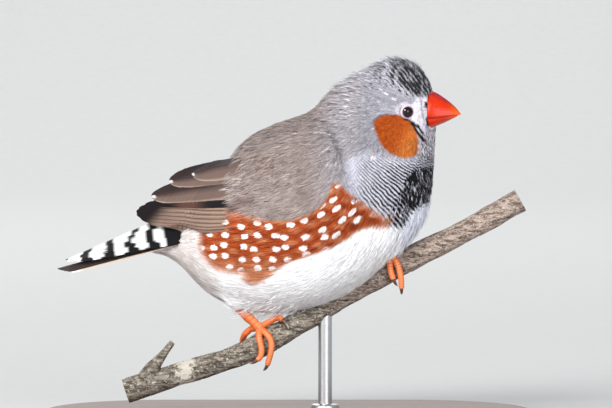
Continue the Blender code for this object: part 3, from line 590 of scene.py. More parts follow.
def plumage_colours(place, marks, dice=None):
    """Colour, black-line share and spot share at places; dice picks the dark barbs of the crown."""
    x, z, y = place[..., 0], place[..., 1], place[..., 2]
    cheek, lore, crown, bars, chestnut, belly, tear, second_tear, band, shadow = np.moveaxis(marks, -1, 0)
    roll = np.full(x.shape, 0.5) if dice is None else dice
    colour = np.broadcast_to(TAUPE, x.shape + (3,)).copy()
    colour = lay_over(colour, ease(x + 0.12 * (z - 65), 3.0, 13.5), NECK_GREY)
    colour = lay_over(colour, ease(x, 14.0, 19.0) * ease(z, 60.0, 68.0), HEAD_GREY)
    colour = lay_over(colour, ease(-x, 12.0, 19.0) * ease(z, 52.0, 56.0), RUMP)
    colour = lay_over(colour, ease(bars, -2.0, 0.8), srgb(206, 205, 216))
    colour = lay_over(colour, ease(belly, -0.4, 0.5), WHITE)
    rear = ease(-x, 14.0, 24.0)
    colour = lay_over(colour, ease(belly, -0.4, 0.5) * rear, CREAM)
    front = ease(x, 23.6, 25.6) * ease(z, 40.0, 45.0)
    colour = lay_over(colour, ease(belly, -0.4, 0.5) * front * 0.85, BREAST_WHITE)
    colour = lay_over(colour, ease(1.5 - shadow, 0.0, 1.0) * 0.6, srgb(104, 82, 78))
    rust = ease(chestnut / (0.35 + 0.8 * ease(-x, 2.0, 12.0)), -1.0, 1.0)
    colour = lay_over(colour, rust, CHESTNUT)
    patches = np.sin(1.1 * x + 1.7 * z) + np.sin(2.3 * z - 0.8 * x + 1.0) + (roll - 0.5)
    colour = lay_over(colour, rust * ease(patches, 0.2, 1.4) * 0.5, CHESTNUT_PALE)
    colour = lay_over(colour, rust * ease(-patches, 0.2, 1.4) * 0.5 * ease(x, -6.0, 6.0), CHESTNUT_DEEP)
    colour = lay_over(colour, rust * ease(0.9 - np.abs(chestnut), 0.0, 0.9) * 0.6, CHESTNUT_PALE)
    colour = lay_over(colour, rust * ease(-z, -42.0, -37.0) * ease(-x, -2.0, 5.0) * 0.6, CHESTNUT_PALE)
    crest = ease(z, 78.0, 82.0) * ease(x, 3.0, 12.0)
    dark = np.maximum(ease(crown, -0.8, 1.4) * 0.76, ease(crown, -7.0, 0.0) * 0.28 * crest)
    colour = lay_over(colour, np.maximum(ease(crown, -1.5, 0.5), crest * 0.35), CROWN_LIGHT)
    over, beside = 0.77 * x + 0.64 * z, -0.64 * x + 0.77 * z
    streaks = np.sin(4.6 * over + 3.1 * y + np.sin(0.7 * beside)) + np.sin(7.3 * over - 2.2 * y + 1.0)
    colour = lay_over(colour, (roll < dark * (0.92 + 0.55 * streaks)) * 0.97, CROWN_DARK)
    tan = ease(1.5 - np.hypot(x - 23.5, 1.3 * (z - 50.0)), 0, 0.8) * (roll < 0.7)
    colour = lay_over(colour, tan, srgb(206, 152, 104))
    in_cheek = ease(cheek, -0.15, 0.2)
    colour = lay_over(colour, in_cheek, CHEEK)
    colour = lay_over(colour, in_cheek * ease(x - 0.5 * z, -9.0, -4.5) * 0.7, CHEEK_PALE)
    colour = lay_over(colour, in_cheek * ease(z - 0.5 * x, 57.0, 61.0) * (roll < 0.7) * 0.45, CHEEK_RUST)
    eye = np.hypot(x - EYE_MIDDLE[0], z - EYE_MIDDLE[1])
    colour = lay_over(colour, ease(-eye, -2.5, -1.7) * ease(-cheek, -0.1, 0.4) * 0.75, srgb(218, 208, 222))
    in_lore = ease(lore, -0.5, 0.3)
    colour = lay_over(colour, in_lore * (0.80 + 0.20 * (roll > 0.3)), LORE_WHITE)
    colour = lay_over(colour, in_lore * (roll < 0.13) * 0.6, srgb(120, 108, 122))
    chin = ease(x, 29.4, 30.4) * ease(z, 61.0, 64.0) * ease(-z, -70.5, -69.0)
    colour = lay_over(colour, chin * (1 - in_lore), srgb(238, 234, 242))
    colour = lay_over(colour, chin * (roll < 0.20 + 0.14 * ease(-z, -68.5, -66.0)), CROWN_DARK)
    ear_edge = ease(0.30 - np.abs(cheek + 0.15), 0, 0.2) * ease(z, 70.5, 72.0) * ease(-x, -25.0, -22.0)
    colour = lay_over(colour, ear_edge * 0.55, BLACK)
    tear_width = 0.22 + 0.18 * ease(0.9 - np.hypot(x - 29.0, z - 71.4), 0, 0.6)
    aside = ease(y, 1.2, 2.2)
    colour = lay_over(colour, aside * ease(tear_width - tear, -0.06, 0.06) * (roll > 0.06), BLACK)
    tear_width = 0.17 + 0.15 * ease(0.6 - np.hypot(x - 29.85, z - 70.9), 0, 0.4)
    colour = lay_over(colour, aside * ease(tear_width - second_tear, -0.06, 0.06) * (roll > 0.06), BLACK)
    near_horn = ease(x - 30.9 - 0.055 * (78.6 - z), -0.42, -0.25)
    broken = np.maximum(ease(0.8 - np.abs(z - 75.6), 0, 0.2), ease(1.1 - np.abs(z - 71.6), 0, 0.2))
    colour = lay_over(colour, near_horn * broken * (roll > 0.15), BLACK)
    lines = ease(bars, -1.4, 1.6) * (0.24 + 0.26 * ease(x + 0.7 * (62 - z), 17, 30)) * ease(x, 14.5, 18.5)
    zone_half = 1.7 + 2.2 * ease(x, 23.5, 29.0)
    solid = ease(zone_half + 1.3 - band, 0, 2.0) * ease(bars, -0.8, 0.2)
    lines = np.maximum(lines, solid * (0.70 + 0.36 * ease(x, 24.5, 28.5)))
    lines = lines * (1 - ease(cheek, -0.6, 0.0)) * (1 - rust) * (1 - solid * (roll > 0.84))
    spots = ease(chestnut, 0.1, 0.8) * (1 - 0.85 * ease(x, 17.0, 20.0)) * ease(z, 37.0, 38.6)
    return colour, lines, spots


def in_rows(place):
    """Places with z taken along the flank feathers, which rise towards the breast; spots follow them."""
    rows = 0.023 * np.clip(place[..., 0], 0, 18) ** 2
    return np.stack([place[..., 0], place[..., 1] - rows, place[..., 2]], -1)


test_colour, test_lines = plumage_colours(body.place, body.marks)[:2]
print("mean colour", test_colour.mean((0, 1)).round(3), "lines", test_lines.mean().round(3))

# %% [markdown]
# The fine black lines of the breast and the white spots of the flank are finer than the grid, so
# the finish draws them. The mesh only stores where each point lies and how strong each pattern is
# there. The lines are the level lines of a smooth hill, a little wobbly, like the height lines of a
# map: they run down towards the breast band and crowd together under the cheek. The spots are cells
# of a jittered honeycomb, each filled near its middle.

# %% Plumage finish
def line_count(place):
    """The height of the hill whose whole numbers are the black lines."""
    x, z, y = place[..., 0], place[..., 1], place[..., 2]
    a, b = (x - 0.3 * y - 20) / 8, (z - 58) / 8
    height = 3.53 * a + 4.63 * b - 0.25 * a**2 + 0.15 * a * b + 1.27 * b**2
    height = height + 0.30 * a**3 - 0.31 * a**2 * b + 0.15 * a * b**2 + 0.33 * b**3
    height = 1.7 * height + 0.10 * np.sin(0.9 * x - 1.4 * z)
    return height + 0.5 * np.sin(2.3 * y + 1.1 * z) * ease(x, 28.0, 30.0)


plumage = Finish("plumage", 0.82, 0.22, sheen_weight=0.08, sheen_roughness=0.45)
ground_colour = plumage.stored("ground", "Color")
side_place = plumage.stored("place", "Vector")
pattern = plumage.wire("ShaderNodeSeparateXYZ", {0: plumage.stored("pattern", "Vector")})
wobble = plumage.speckle(side_place, 0.55, 2.0)
wobble = plumage.maths("MULTIPLY_ADD", wobble, 1.1, -0.55)
counted = plumage.maths("ADD", pattern["Z"], wobble)
saw = plumage.maths("FRACT", counted)
ridge = plumage.maths("ABSOLUTE", plumage.maths("SUBTRACT", saw, 0.5))
ridge = plumage.maths("MULTIPLY", ridge, 2.0)
break_up = plumage.maths("MULTIPLY_ADD", plumage.speckle(side_place, 1.3, 2.0), 0.5, -0.25)
line_width = plumage.maths("ADD", pattern["X"], plumage.maths("MULTIPLY", break_up, pattern["X"]))
in_line = plumage.between(plumage.maths("SUBTRACT", line_width, ridge), -0.05, 0.05)
with_lines = plumage.blend(in_line, ground_colour, BLACK)
flattened = plumage.stretched(side_place, (0.265, 0.375, 0.0))
cells = plumage.wire("ShaderNodeTexVoronoi", {"Vector": flattened, "Scale": 1.0, "Randomness": 0.5},
             voronoi_dimensions="2D")["Distance"]
rough_edge = plumage.maths("MULTIPLY_ADD", plumage.speckle(side_place, 1.1, 3.0), 0.22, -0.11)
in_spot = plumage.between(plumage.maths("ADD", cells, rough_edge), 0.275, 0.225)
in_spot = plumage.maths("MULTIPLY", in_spot, pattern["Y"])
finished = plumage.blend(in_spot, with_lines, srgb(250, 240, 238))
salt = plumage.maths("MULTIPLY_ADD", plumage.speckle(side_place, 4.4, 2.0), 0.9, 0.55)
salt = plumage.grey(salt)
paleness = plumage.between(plumage.wire("ShaderNodeSeparateColor", {0: ground_colour})["Blue"], 0.55, 0.80)
finished = plumage.blend(plumage.maths("MULTIPLY_ADD", paleness, -0.6, 1.0), finished, salt, "MULTIPLY")
plumage.plug(finished)
print("plumage finish has", len(plumage.nodes), "nodes")

# %% Make a mesh from arrays
# What a mesh can store at its points: its kind, and the name of that kind's value
STORED_KINDS = {"ground": ("FLOAT_COLOR", "color"), "place": ("FLOAT_VECTOR", "vector"),
                "pattern": ("FLOAT_VECTOR", "vector"), "cut": ("FLOAT", "value")}


def listed(*tables):
    """Corners in one list and the size of each face, from tables of squares and triangles."""
    sizes = [np.full(len(table), table.shape[1]) for table in tables]
    return np.concatenate([table.ravel() for table in tables]), np.concatenate(sizes)


def make_piece(name, points, faces, finish, kept, spread=None, in_room=False, replaces=()):
    """One object from arrays, with the values kept at its points and its bake map, ready to ride."""
    mesh = bpy.data.meshes.new(name)
    room = points if in_room else to_room(points)
    corner_list, face_sizes = faces
    mesh.vertices.add(len(room))
    mesh.vertices.foreach_set("co", np.asarray(room, np.float32).ravel())
    mesh.loops.add(len(corner_list))
    mesh.loops.foreach_set("vertex_index", np.asarray(corner_list, np.int32))
    starts = np.concatenate([[0], np.cumsum(face_sizes)[:-1]])
    mesh.polygons.add(len(face_sizes))
    mesh.polygons.foreach_set("loop_start", starts.astype(np.int32))
    mesh.update(calc_edges=True)
    mesh.shade_smooth()
    for key, values in kept.items():
        kind, field = STORED_KINDS[key]
        layer = mesh.attributes.new(key, kind, "POINT")
        if key == "ground":
            values = np.concatenate([values, np.ones((len(values), 1))], 1)
        layer.data.foreach_set(field, values.astype(np.float32).ravel())
    if spread is not None:
        layer = mesh.uv_layers.new(name="OFBake")
        layer.data.foreach_set("uv", np.asarray(spread, np.float32)[corner_list].ravel())
    mesh.materials.append(finish.material)
    piece = bpy.data.objects.new(name, mesh)
    bpy.context.scene.collection.objects.link(piece)
    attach(piece, "root")
    if replaces:
        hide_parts(*replaces)
    return piece


def grid_faces(rows, columns, ring=False, start=0):
    """Corners of the squares of a grid of points."""
    columns_used = columns if ring else columns - 1
    row, column = np.meshgrid(np.arange(rows - 1), np.arange(columns_used), indexing="ij")
    after = (column + 1) % columns
    here, below = row * columns, (row + 1) * columns
    corners = [here + column, here + after, below + after, below + column]
    return start + np.stack(corners, -1).reshape(-1, 4)


def closed_tube(rows, columns, start=0):
    """Faces of a tube's side and of its ends, each drawn together at one of two points after it."""
    side = grid_faces(rows, columns, ring=True, start=start)
    ring = np.arange(columns)
    after, last_row = (ring + 1) % columns, (rows - 1) * columns
    low, high = np.full(columns, rows * columns), np.full(columns, rows * columns + 1)
    first = np.stack([after, ring, low], -1)
    last = np.stack([last_row + ring, last_row + after, high], -1)
    return side, start + np.concatenate([first, last])


def with_ends(field, first=None, last=None):
    """What is known on a tube's rings as one list, and then its value at the two end points."""
    first = field[0, 0] if first is None else first
    last = field[-1, 0] if last is None else last
    return np.concatenate([field.reshape(-1, field.shape[-1]), [first], [last]])


print("squares in a 3 by 4 grid:", len(grid_faces(3, 4)))

# %% The skin itself
# How deep the coat is, by the distance from the bill
COAT_DEPTH = ([0.0, 1.5, 5.0, 10.0, 18.0, 30.0], [0.10, 0.26, 0.45, 0.62, 0.90, 1.15])
BILL_MIDDLE = (31.0, 74.0)
BILL_REACH = 4.6
# The skin carries the colours of the feathers over it, painted darker: partly the grey down of their bases,
# partly painted shade deep under the coat
SKIN_DARKER = 0.8
x, z, y = np.moveaxis(body.place, -1, 0)
from_bill = np.hypot(np.hypot(x - BILL_MIDDLE[0], z - BILL_MIDDLE[1]), y * 0.6)
body.from_bill = np.clip(from_bill - BILL_REACH, 0, None)
body.depth = np.interp(body.from_bill, *COAT_DEPTH)
skin_points = body.points - body.out * body.depth[..., None]
rows, columns = body.size
squares, caps = closed_tube(rows, columns)
skin_faces = listed(squares[:, ::-1], caps[:, [1, 0, 2]])
colour, lines, spots = plumage_colours(body.place, body.marks)
kept = {"ground": with_ends(colour) * SKIN_DARKER, "place": with_ends(in_rows(body.place)),
        "pattern": with_ends(np.stack([lines, spots, line_count(body.place)], -1))}
t_share, v_share = np.meshgrid(np.linspace(0.005, 0.985, columns), np.linspace(0.01, 0.99, rows))
skin_spread = with_ends(np.stack([t_share, v_share], -1), (0.5, 0.0), (0.5, 1.0))
make_piece("skin", with_ends(skin_points, skin_points[0].mean(0), skin_points[-1].mean(0)), skin_faces,
           plumage, kept, skin_spread, replaces=("head", "neck", "trunk", "thigh_right"))
print("skin of", len(skin_faces[1]), "faces")

# %% [markdown]
# ## Eyes and lids
#
# A finch's eye is a glossy ball, almost black, with a thin chestnut iris. Only the middle of the
# ball shows; the rest sits in the head behind a ring of fine, pale skin. The ball's colours run in
# circles round the way it looks, and a clear, slightly domed front catches the light. The lid is a
# rolled ring with small folds in it, which sinks into the skin all round.

# %% Where the eyes look
EYE_RADIUS = 1.75
EYES = {}
for label, side in (("right", -1), ("left", 1)):
    low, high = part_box("eye_" + label)
    centre = to_bird([(np.array(low) + np.array(high)) / 2])[0]
    gaps = np.linalg.norm(body.points - centre, axis=-1)
    row, column = np.unravel_index(np.argmin(gaps), gaps.shape)
    axis = body.out[row, column] + (0.10, 0, 0)
    EYES[label] = (centre, axis / np.linalg.norm(axis))
    print("eye", label, "at", centre.round(2), "looks to", EYES[label][1].round(2))

# %% Eyeballs
def round_frame(axis):
    """Two directions square to an axis."""
    first = np.cross(axis, (0, 0, 1.0))
    first /= np.linalg.norm(first)
    return first, np.cross(axis, first)


def rings_about(centre, axis, polar, radius, segments, wave=None):
    """Points on rings round an axis, given each ring's angle from the axis and its radius."""
    first, second = round_frame(axis)
    turn = np.arange(segments) * 2 * math.pi / segments
    polar, radius = np.asarray(polar)[:, None, None], np.asarray(radius)[:, None, None]
    if wave is not None:
        radius = radius + wave[:, :, None]
    spoke = np.cos(turn)[None, :, None] * first + np.sin(turn)[None, :, None] * second
    return centre + radius * (np.cos(polar) * axis + np.sin(polar) * spoke)


def target_map(reach, segments):
    """A bake map like a shooting target: rings at these distances from its middle."""
    turn, reach = np.meshgrid(np.arange(segments) * 2 * math.pi / segments, reach)
    return np.stack([0.5 + reach * np.cos(turn), 0.5 + reach * np.sin(turn)], -1).reshape(-1, 2)


IRIS = srgb(44, 11, 14)
PUPIL = srgb(7, 4, 6)
eye_finish = Finish("eye", 0.03, 0.38)
iris_noise = eye_finish.speckle(eye_finish.stored("place", "Vector"), 2.2, 4.0)
eye_finish.tint_ground(iris_noise, (0.55, 0.55, 0.55), (1.5, 1.5, 1.5))
EYE_RINGS, EYE_SEGMENTS = 40, 48
DOME = 0.035
for label, (centre, axis) in EYES.items():
    polar = np.linspace(0.02, math.pi - 0.02, EYE_RINGS)
    radius = EYE_RADIUS * (1 + DOME * ease(-polar, -0.75, -0.1))
    points = rings_about(centre, axis, polar, radius, EYE_SEGMENTS)
    ring_share = ease(polar, 0.40, 0.47) * (1 - ease(polar, 0.70, 0.80))
    tone = PUPIL + ring_share[:, None] * (IRIS - PUPIL)
    faces = listed(grid_faces(EYE_RINGS, EYE_SEGMENTS, ring=True))
    turn_share, polar_share = np.meshgrid(np.arange(EYE_SEGMENTS) / EYE_SEGMENTS, polar / math.pi)
    place = np.stack([turn_share * 40, polar_share * 6, polar_share], -1).reshape(-1, 3)
    kept = {"ground": np.repeat(tone, EYE_SEGMENTS, 0), "place": place}
    make_piece("eyeball_" + label, points.reshape(-1, 3), faces, eye_finish, kept,
               target_map(polar / math.pi * 0.48, EYE_SEGMENTS), replaces=("eye_" + label,))
print("eyeballs of", len(faces[1]), "faces")

# %% Lids
LID = srgb(203, 190, 200)
LID_EDGE = srgb(92, 72, 84)
lid_finish = Finish("lid_skin", 0.55, 0.4, subsurface_weight=0.15, subsurface_scale=0.0004)
lid_finish.plug(lid_finish.stored("ground", "Color"))
lid_place = lid_finish.stored("place", "Vector")
lid_finish.raise_bumps(lid_finish.speckle(lid_place, 3.0, 3.0), 0.5, 0.0001)
# Rings of the lid: degrees from the way the eye looks, radius in eye radii, and depth of the folds
LID_PROFILE = np.array([
    (42, 0.985, 0), (44.5, 1.02, 0.2), (47, 1.04, 0.5), (50, 1.048, 0.9), (54, 1.04, 1.2),
    (58, 1.035, 1.0), (64, 1.02, 0.8), (70, 1.00, 0.5), (78, 0.97, 0.2), (90, 0.91, 0)])
LID_SEGMENTS = 72
FOLD_COUNT, FOLD_DEPTH = 19, 0.018
for label, (centre, axis) in EYES.items():
    polar, radius = np.radians(LID_PROFILE[:, 0]), EYE_RADIUS * LID_PROFILE[:, 1]
    turn = np.arange(LID_SEGMENTS) * 2 * math.pi / LID_SEGMENTS
    wave = np.sin(FOLD_COUNT * turn + 0.8 * np.sin(3 * turn))
    folds = FOLD_DEPTH * wave[None, :] * LID_PROFILE[:, 2:]
    points = rings_about(centre, axis, polar, radius, LID_SEGMENTS, folds).reshape(-1, 3)
    share = ease(polar, math.radians(44), math.radians(50))[:, None]
    ground = np.repeat(LID_EDGE + share * (LID - LID_EDGE), LID_SEGMENTS, 0)
    # The folds are painted darker in their hollows and lighter on their ridges: painted shade and painted
    # light
    kept = {"ground": ground * (1 + 4.0 * folds.reshape(-1, 1)), "place": points - centre}
    faces = listed(grid_faces(len(LID_PROFILE), LID_SEGMENTS, ring=True))
    make_piece("lid_" + label, points, faces, lid_finish, kept,
               target_map(np.linspace(0.2, 0.48, len(LID_PROFILE)), LID_SEGMENTS))
print("lid rings of", len(faces[1]), "faces")

# %% [markdown]
# ## The bill
#
# The seed-cracking bill is a horn cone in two halves. Each half is a row of arches from the base to
# the tip; the base runs back under the face feathers so that no gap shows. The upper half ends in
# a sharp cutting edge that closes just outside the lower one. Horn is smooth but never perfect, so
# the finish has faint growth lines along it and a soft wet gloss. The upper ridge is painted rosier,
# partly as painted sheen, and painted shade darkens the gape and the nostril.

# %% Two halves of horn
BILL_BASE_X, BILL_TIP_X = 31.15, 38.1
GAPE_Z, GAPE_TIP_Z = 72.6, 73.4
NOSTRIL_X, NOSTRIL_Z = 30.9, 77.0
HORN_EDGE = 0.22
# Arches stand closer together towards the tip; the first two lie behind the base
ARCHES = np.concatenate([[-0.25, -0.1], np.linspace(0, 0.9, 34),
                         1 - 0.1 * (1 - np.linspace(0, 1, 13)[1:]) ** 2])


def bill_half(name, height, half_width, length, curve, upward, base_colour, ridge_colour):
    """Arches of one half of the bill, rounded off at the tip and closed along the gape."""
    shares = ARCHES
    arch = np.linspace(0, math.pi, 49)
    share = np.clip(shares, 0, 1)[:, None] * length
    blunt = np.sqrt(np.clip(1 - (np.clip(shares, 0, 1)[:, None]) ** 22, 0, 1))
    x = BILL_BASE_X + (BILL_TIP_X - BILL_BASE_X) * (shares[:, None] * length + 0 * arch)
    gape = GAPE_Z + (GAPE_TIP_Z - GAPE_Z) * share - 0.16 * np.sin(math.pi * np.clip(share * 1.3, 0, 1))
    blunt = blunt * (1 - 1.3 * np.clip(-shares[:, None], 0, 1))
    tall = (height * (1 - share**curve) + HORN_EDGE) * blunt
    wide = (half_width * (1 - share**1.5) + HORN_EDGE) * blunt
    keel = 0.05 * np.exp(-((arch - math.pi / 2) / 0.16) ** 2) * height / 5.6
    y = wide * np.cos(arch)
    z = gape + upward * (0.02 + tall * (np.sin(arch) ** 0.92 + keel))
    if upward > 0:
        z = z - 0.13 * (1 - ease(np.sin(arch), 0.0, 0.12))
    points = np.stack([x, y + 0 * x, z], -1)
    pit = np.hypot(x - NOSTRIL_X, 1.25 * (points[..., 2] - NOSTRIL_Z))
    pit = np.where(upward > 0, np.exp(-((pit / 0.36) ** 4)), 0)
    points[..., 1] *= 1 - 0.10 * pit
    around = np.clip(np.sin(arch), 0, 1)[None, :]
    # The ridge takes its own colour; on the upper half its rose is partly painted sheen along the top
    on_ridge = (ease(around, 0.80, 1.0) * np.ones_like(x))[..., None]
    colour = base_colour + on_ridge * (ridge_colour - base_colour)
    tip_share = ease(shares, 0.55, 1.0)[:, None, None]
    colour = colour + tip_share * 0.5 * (srgb(255, 120, 30) - colour)
    # The horn is painted darker along the gape, as shade where the two halves meet, and darker still in the
    # nostril, as painted shade in its hollow
    edge = (1 - ease(around, 0.0, 0.10))[..., None]
    colour = colour * (1 - 0.45 * edge) * (1 - 0.8 * pit[..., None])
    rows, columns = x.shape
    left = np.arange(rows) * columns
    right = left + columns - 1
    floor = np.stack([left[1:], right[1:], right[:-1], left[:-1]], -1)
    squares = np.concatenate([grid_faces(rows, columns), floor])
    if upward < 0:
        squares = squares[:, ::-1]
    flat = np.stack(np.meshgrid(np.linspace(0.02, 0.98, columns), np.linspace(0.02, 0.98, rows)), -1)
    place = np.stack([x, points[..., 2], 2 * arch + 0 * x], -1)
    kept = {"ground": np.clip(colour, 0, 1).reshape(-1, 3), "place": place.reshape(-1, 3)}
    make_piece(name, turned(points.reshape(-1, 3), HEAD_TURN, HEAD_PIVOT_X), listed(squares), horn,
               kept, flat.reshape(-1, 2), replaces=(name.replace("horn_", "bill_"),))
    print(name, len(squares), "faces")


horn = Finish("bill_horn", 0.26, 0.25, subsurface_weight=0.12, subsurface_scale=0.0006)
horn_place = horn.stored("place", "Vector")
growth = horn.speckle(horn.stretched(horn_place, (0.5, 0.8, 2.4)), 2.2, 4.0)
horn.tint_ground(growth, (0.78, 0.72, 0.70), (1.18, 1.22, 1.20))
gloss = horn.maths("MULTIPLY_ADD", horn.speckle(horn_place, 1.6, 3.0), 0.30, 0.14)
horn.plug(gloss, "Roughness")
horn.raise_bumps(growth, 0.35, 0.00012)
bill_half("horn_lower", 2.2, 3.3, 0.90, 0.85, -1, srgb(198, 42, 2), srgb(180, 28, 6))
bill_half("horn_upper", 5.5, 3.6, 1.0, 1.45, 1, srgb(192, 42, 2), srgb(152, 18, 34))

# %% [markdown]
# ## The coat
#
# Body feathers are small overlapping plumes whose barbs part easily, so the coat reads as fine
# hair. Each plume here is a fan of thin ribbons, its barbs. Every barb starts at the same root,
# swings out sideways, and then walks down the coat in three steps, rising through the coat's depth
# to end on top of the plumes behind it. Solid mesh is used so that the coat survives export.
#
# Roots are dropped by a fixed sequence that never bunches up, more closely where plumes are small.

# %% Sowing roots
# Steps of the sequence: one over the plastic number, and one over its square
DOWN_STEP, ALONG_STEP = 0.7548776662, 0.5698402910


def sow(ground, per_square_mm, shift):
    """Root places spread evenly, with the wanted number on each square millimetre."""
    area = np.linalg.norm(np.cross(ground.slope_v, ground.slope_t), axis=-1)
    weight = (area * per_square_mm)[:-1]
    if not ground.ring:
        weight = weight[:, :-1]
    row_sums = np.cumsum(weight.sum(1))
    count = int(row_sums[-1])
    step = np.arange(1, count + 1)
    down, along = (step * DOWN_STEP + shift) % 1, (step * ALONG_STEP + shift * 2) % 1
    row = np.searchsorted(row_sums, down * row_sums[-1])
    row = np.clip(row, 0, len(row_sums) - 1)
    before = np.where(row > 0, row_sums[row - 1], 0)
    v = row + np.clip((down * row_sums[-1] - before) / (row_sums[row] - before + 1e-12), 0, 1)
    sums = np.cumsum(weight, 1)
    scaled = sums / (sums[:, -1:] + 1e-12) + np.arange(len(sums))[:, None]
    found = np.searchsorted(scaled.ravel(), row + along)
    column = np.clip(found - row * weight.shape[1], 0, weight.shape[1] - 1)
    low = np.where(column > 0, scaled[row, column - 1] - row, 0)
    high = scaled[row, column] - row
    t = column + np.clip((along - low) / (high - low + 1e-12), 0, 1)
    return v, t


print("one root on each ten square millimetres gives", len(sow(body, np.full(body.size, 0.1), 0.5)[0]))

# %% Growing plumes
# A barb's four stages from root to tip: how far it swings out in degrees, its height in the coat,
# its width, the step to it as a share of the barb, and how strongly it is drawn to its lock
SWING = np.radians([34, 34, 13, 2])
RISE = (-0.15, 0.50, 0.86, 1.0)
GIRTH = (0.55, 1.0, 0.85, 0.0)
STEP = (0.0, 0.36, 0.34, 0.30)
PULL = (0.0, 0.0, 1.0, 2.0)


def grow(ground, v, t, length, width, barb_width, depth, barbs, seed, ruffle=7.0, lift=0.0, locks=4,
         contrast=0.20, calm=0.0):
    """Barbs of many plumes at once: points, grid places and shades, each plume a fan of ribbons."""
    dice = np.random.default_rng(seed)
    count = len(v)
    fan = np.linspace(-1, 1, barbs)[None, :] + dice.normal(0, 0.35 / barbs, (count, barbs))
    sizes = (length, width, barb_width, depth, ruffle, lift, 1 - np.asarray(calm))
    one_each = [np.broadcast_to(size, count)[:, None] for size in sizes]
    length, width, barb_width, depth, ruffle, lift, wild = one_each
    lock = np.clip((fan * 0.5 + 0.5) * locks, 0, locks - 0.01).astype(int)
    lock_middle = (lock + 0.5) / locks * 2 - 1
    of_lock = np.take_along_axis(dice.normal(0, 1, (count, locks)), lock, 1)
    lock_lift = np.take_along_axis(dice.normal(0, 1, (count, locks)), lock, 1)
    lock_roll = np.take_along_axis(dice.random((count, 2)), (fan > 0).astype(int), 1)
    yaw = dice.normal(0, 1, (count, 1)) * np.radians(ruffle) + dice.normal(0, math.radians(2.0), fan.shape)
    reach = length * (1 - 0.30 * fan**2) * (1 + 0.10 * of_lock + dice.normal(0, 0.05, fan.shape))
    opening = fan * width / length / 0.27
    gather = (lock_middle - fan) * width / length
    barb_lift = dice.normal(0, 0.10, (count, 1)) * wild + dice.normal(0, 0.06, fan.shape) * wild
    barb_lift = barb_lift + lift * (1 + 0.8 * lock_lift) + 0.13 * lock_lift * wild
    lean = dice.normal(0, math.radians(22), fan.shape) * (0.3 + 0.7 * wild)
    v_now, t_now = (np.broadcast_to(a[:, None], fan.shape) for a in (v, t))
    points, places = [], []
    for stage in range(4):
        out = ground.read(ground.out, v_now, t_now)
        lie = ground.read(ground.lie, v_now, t_now)
        side = np.cross(out, lie)
        angle = yaw + opening * SWING[stage] + gather * PULL[stage]
        way = lie * np.cos(angle)[..., None] + side * np.sin(angle)[..., None]
        across = np.cross(out, way)
        if stage == 0:
            v_now, t_now = ground.walk(v_now, t_now, side, fan * width * 0.22)
        else:
            v_now, t_now = ground.walk(v_now, t_now, way, reach * STEP[stage])
        out = ground.read(ground.out, v_now, t_now)
        height = depth * (RISE[stage] * (1 - 0.22 * fan**2) - 1 + barb_lift * RISE[stage] ** 2)
        centre = ground.read(ground.points, v_now, t_now) + out * height[..., None]
        places.append(np.stack([v_now, t_now], -1))
        if stage == 3:
            points.append(centre)
        else:
            arm = across * np.cos(lean)[..., None] + out * np.sin(lean)[..., None]
            arm = arm * (barb_width * GIRTH[stage] / 2)[..., None]
            points += [centre - arm, centre + arm]
    shade = dice.normal(0, contrast / 2, fan.shape) + contrast * of_lock + dice.normal(0, 0.05, (count, 1))
    rolled = np.clip(lock_roll + dice.normal(0, 0.04, fan.shape), 0, 0.999)
    root = np.broadcast_to(np.stack([v, t], -1)[:, None], fan.shape + (2,))
    return {"points": np.stack(points, 2).reshape(-1, 7, 3),
            "places": np.stack(places, 2).reshape(-1, 4, 2),
            "shade": np.exp(shade).ravel(), "dice": rolled.ravel(), "fan": fan.ravel(),
            "root": root.reshape(-1, 2)}


# A ribbon has two points at each of its first three stages and one at its tip
STAGE_OF_POINT = [0, 0, 1, 1, 2, 2, 3]
RIBBON_TRIANGLES = 5


def picked(plumes, keep):
    """Only the barbs that are kept."""
    return {key: values[keep] for key, values in plumes.items()}


def ribbon_faces(count):
    """Corners and sizes of the two squares and the tip of each ribbon."""
    base = 7 * np.arange(count)[:, None]
    pattern = np.array([0, 1, 3, 2, 2, 3, 5, 4, 4, 5, 6])
    return (base + pattern).ravel(), np.tile([4, 4, 3], count)


def coat_piece(name, ground, plumes, replaces=()):
    """Turns barbs into one object, each coloured by the markings under it."""
    dice, places = plumes["dice"], plumes["places"]
    jog = np.stack([(dice * 7.3) % 1 - 0.5, (dice * 3.7) % 1 - 0.5], -1)[:, None, :] * ground.jog
    v, t = places[..., 0] + jog[..., 0], places[..., 1] + jog[..., 1]
    place = ground.read(ground.place, v, t)
    marks = ground.read(ground.marks, v, t)
    colour, lines, spots = plumage_colours(place, marks, np.broadcast_to(dice[:, None], v.shape))
    white = ease(colour[:, 2].min(-1), 0.5, 0.8)[:, None]
    colour = colour * (plumes["shade"][:, None] ** (1 - 0.75 * white))[..., None]
    # Each barb is painted darker towards its root, white barbs less: partly the grey down at a feather's
    # base, partly painted shade deep in the coat
    colour[:, 0] *= 0.50 + 0.48 * white
    colour[:, 1] *= 0.82 + 0.17 * white
    fields = {"ground": colour, "place": in_rows(place),
              "pattern": np.stack([lines, spots, line_count(place)], -1)}
    kept = {key: field[:, STAGE_OF_POINT].reshape(-1, 3) for key, field in fields.items()}
    root = plumes["root"] / np.array(ground.size)
    patch = np.zeros((len(dice), 7, 2))
    patch[..., 0] = root[:, None, 1] + plumes["fan"][:, None] * 0.0013
    patch[..., 1] = root[:, None, 0] + np.array([-3, -3, -1, -1, 1, 1, 3]) * 0.0004
    patch[:, [1, 3, 5], 0] += 0.0003
    make_piece(name, plumes["points"].reshape(-1, 3), ribbon_faces(len(dice)), plumage, kept,
               np.clip(patch.reshape(-1, 2), 0, 1), replaces=replaces)
    return RIBBON_TRIANGLES * len(dice)


print("a ribbon has", len(ribbon_faces(1)[1]), "faces")

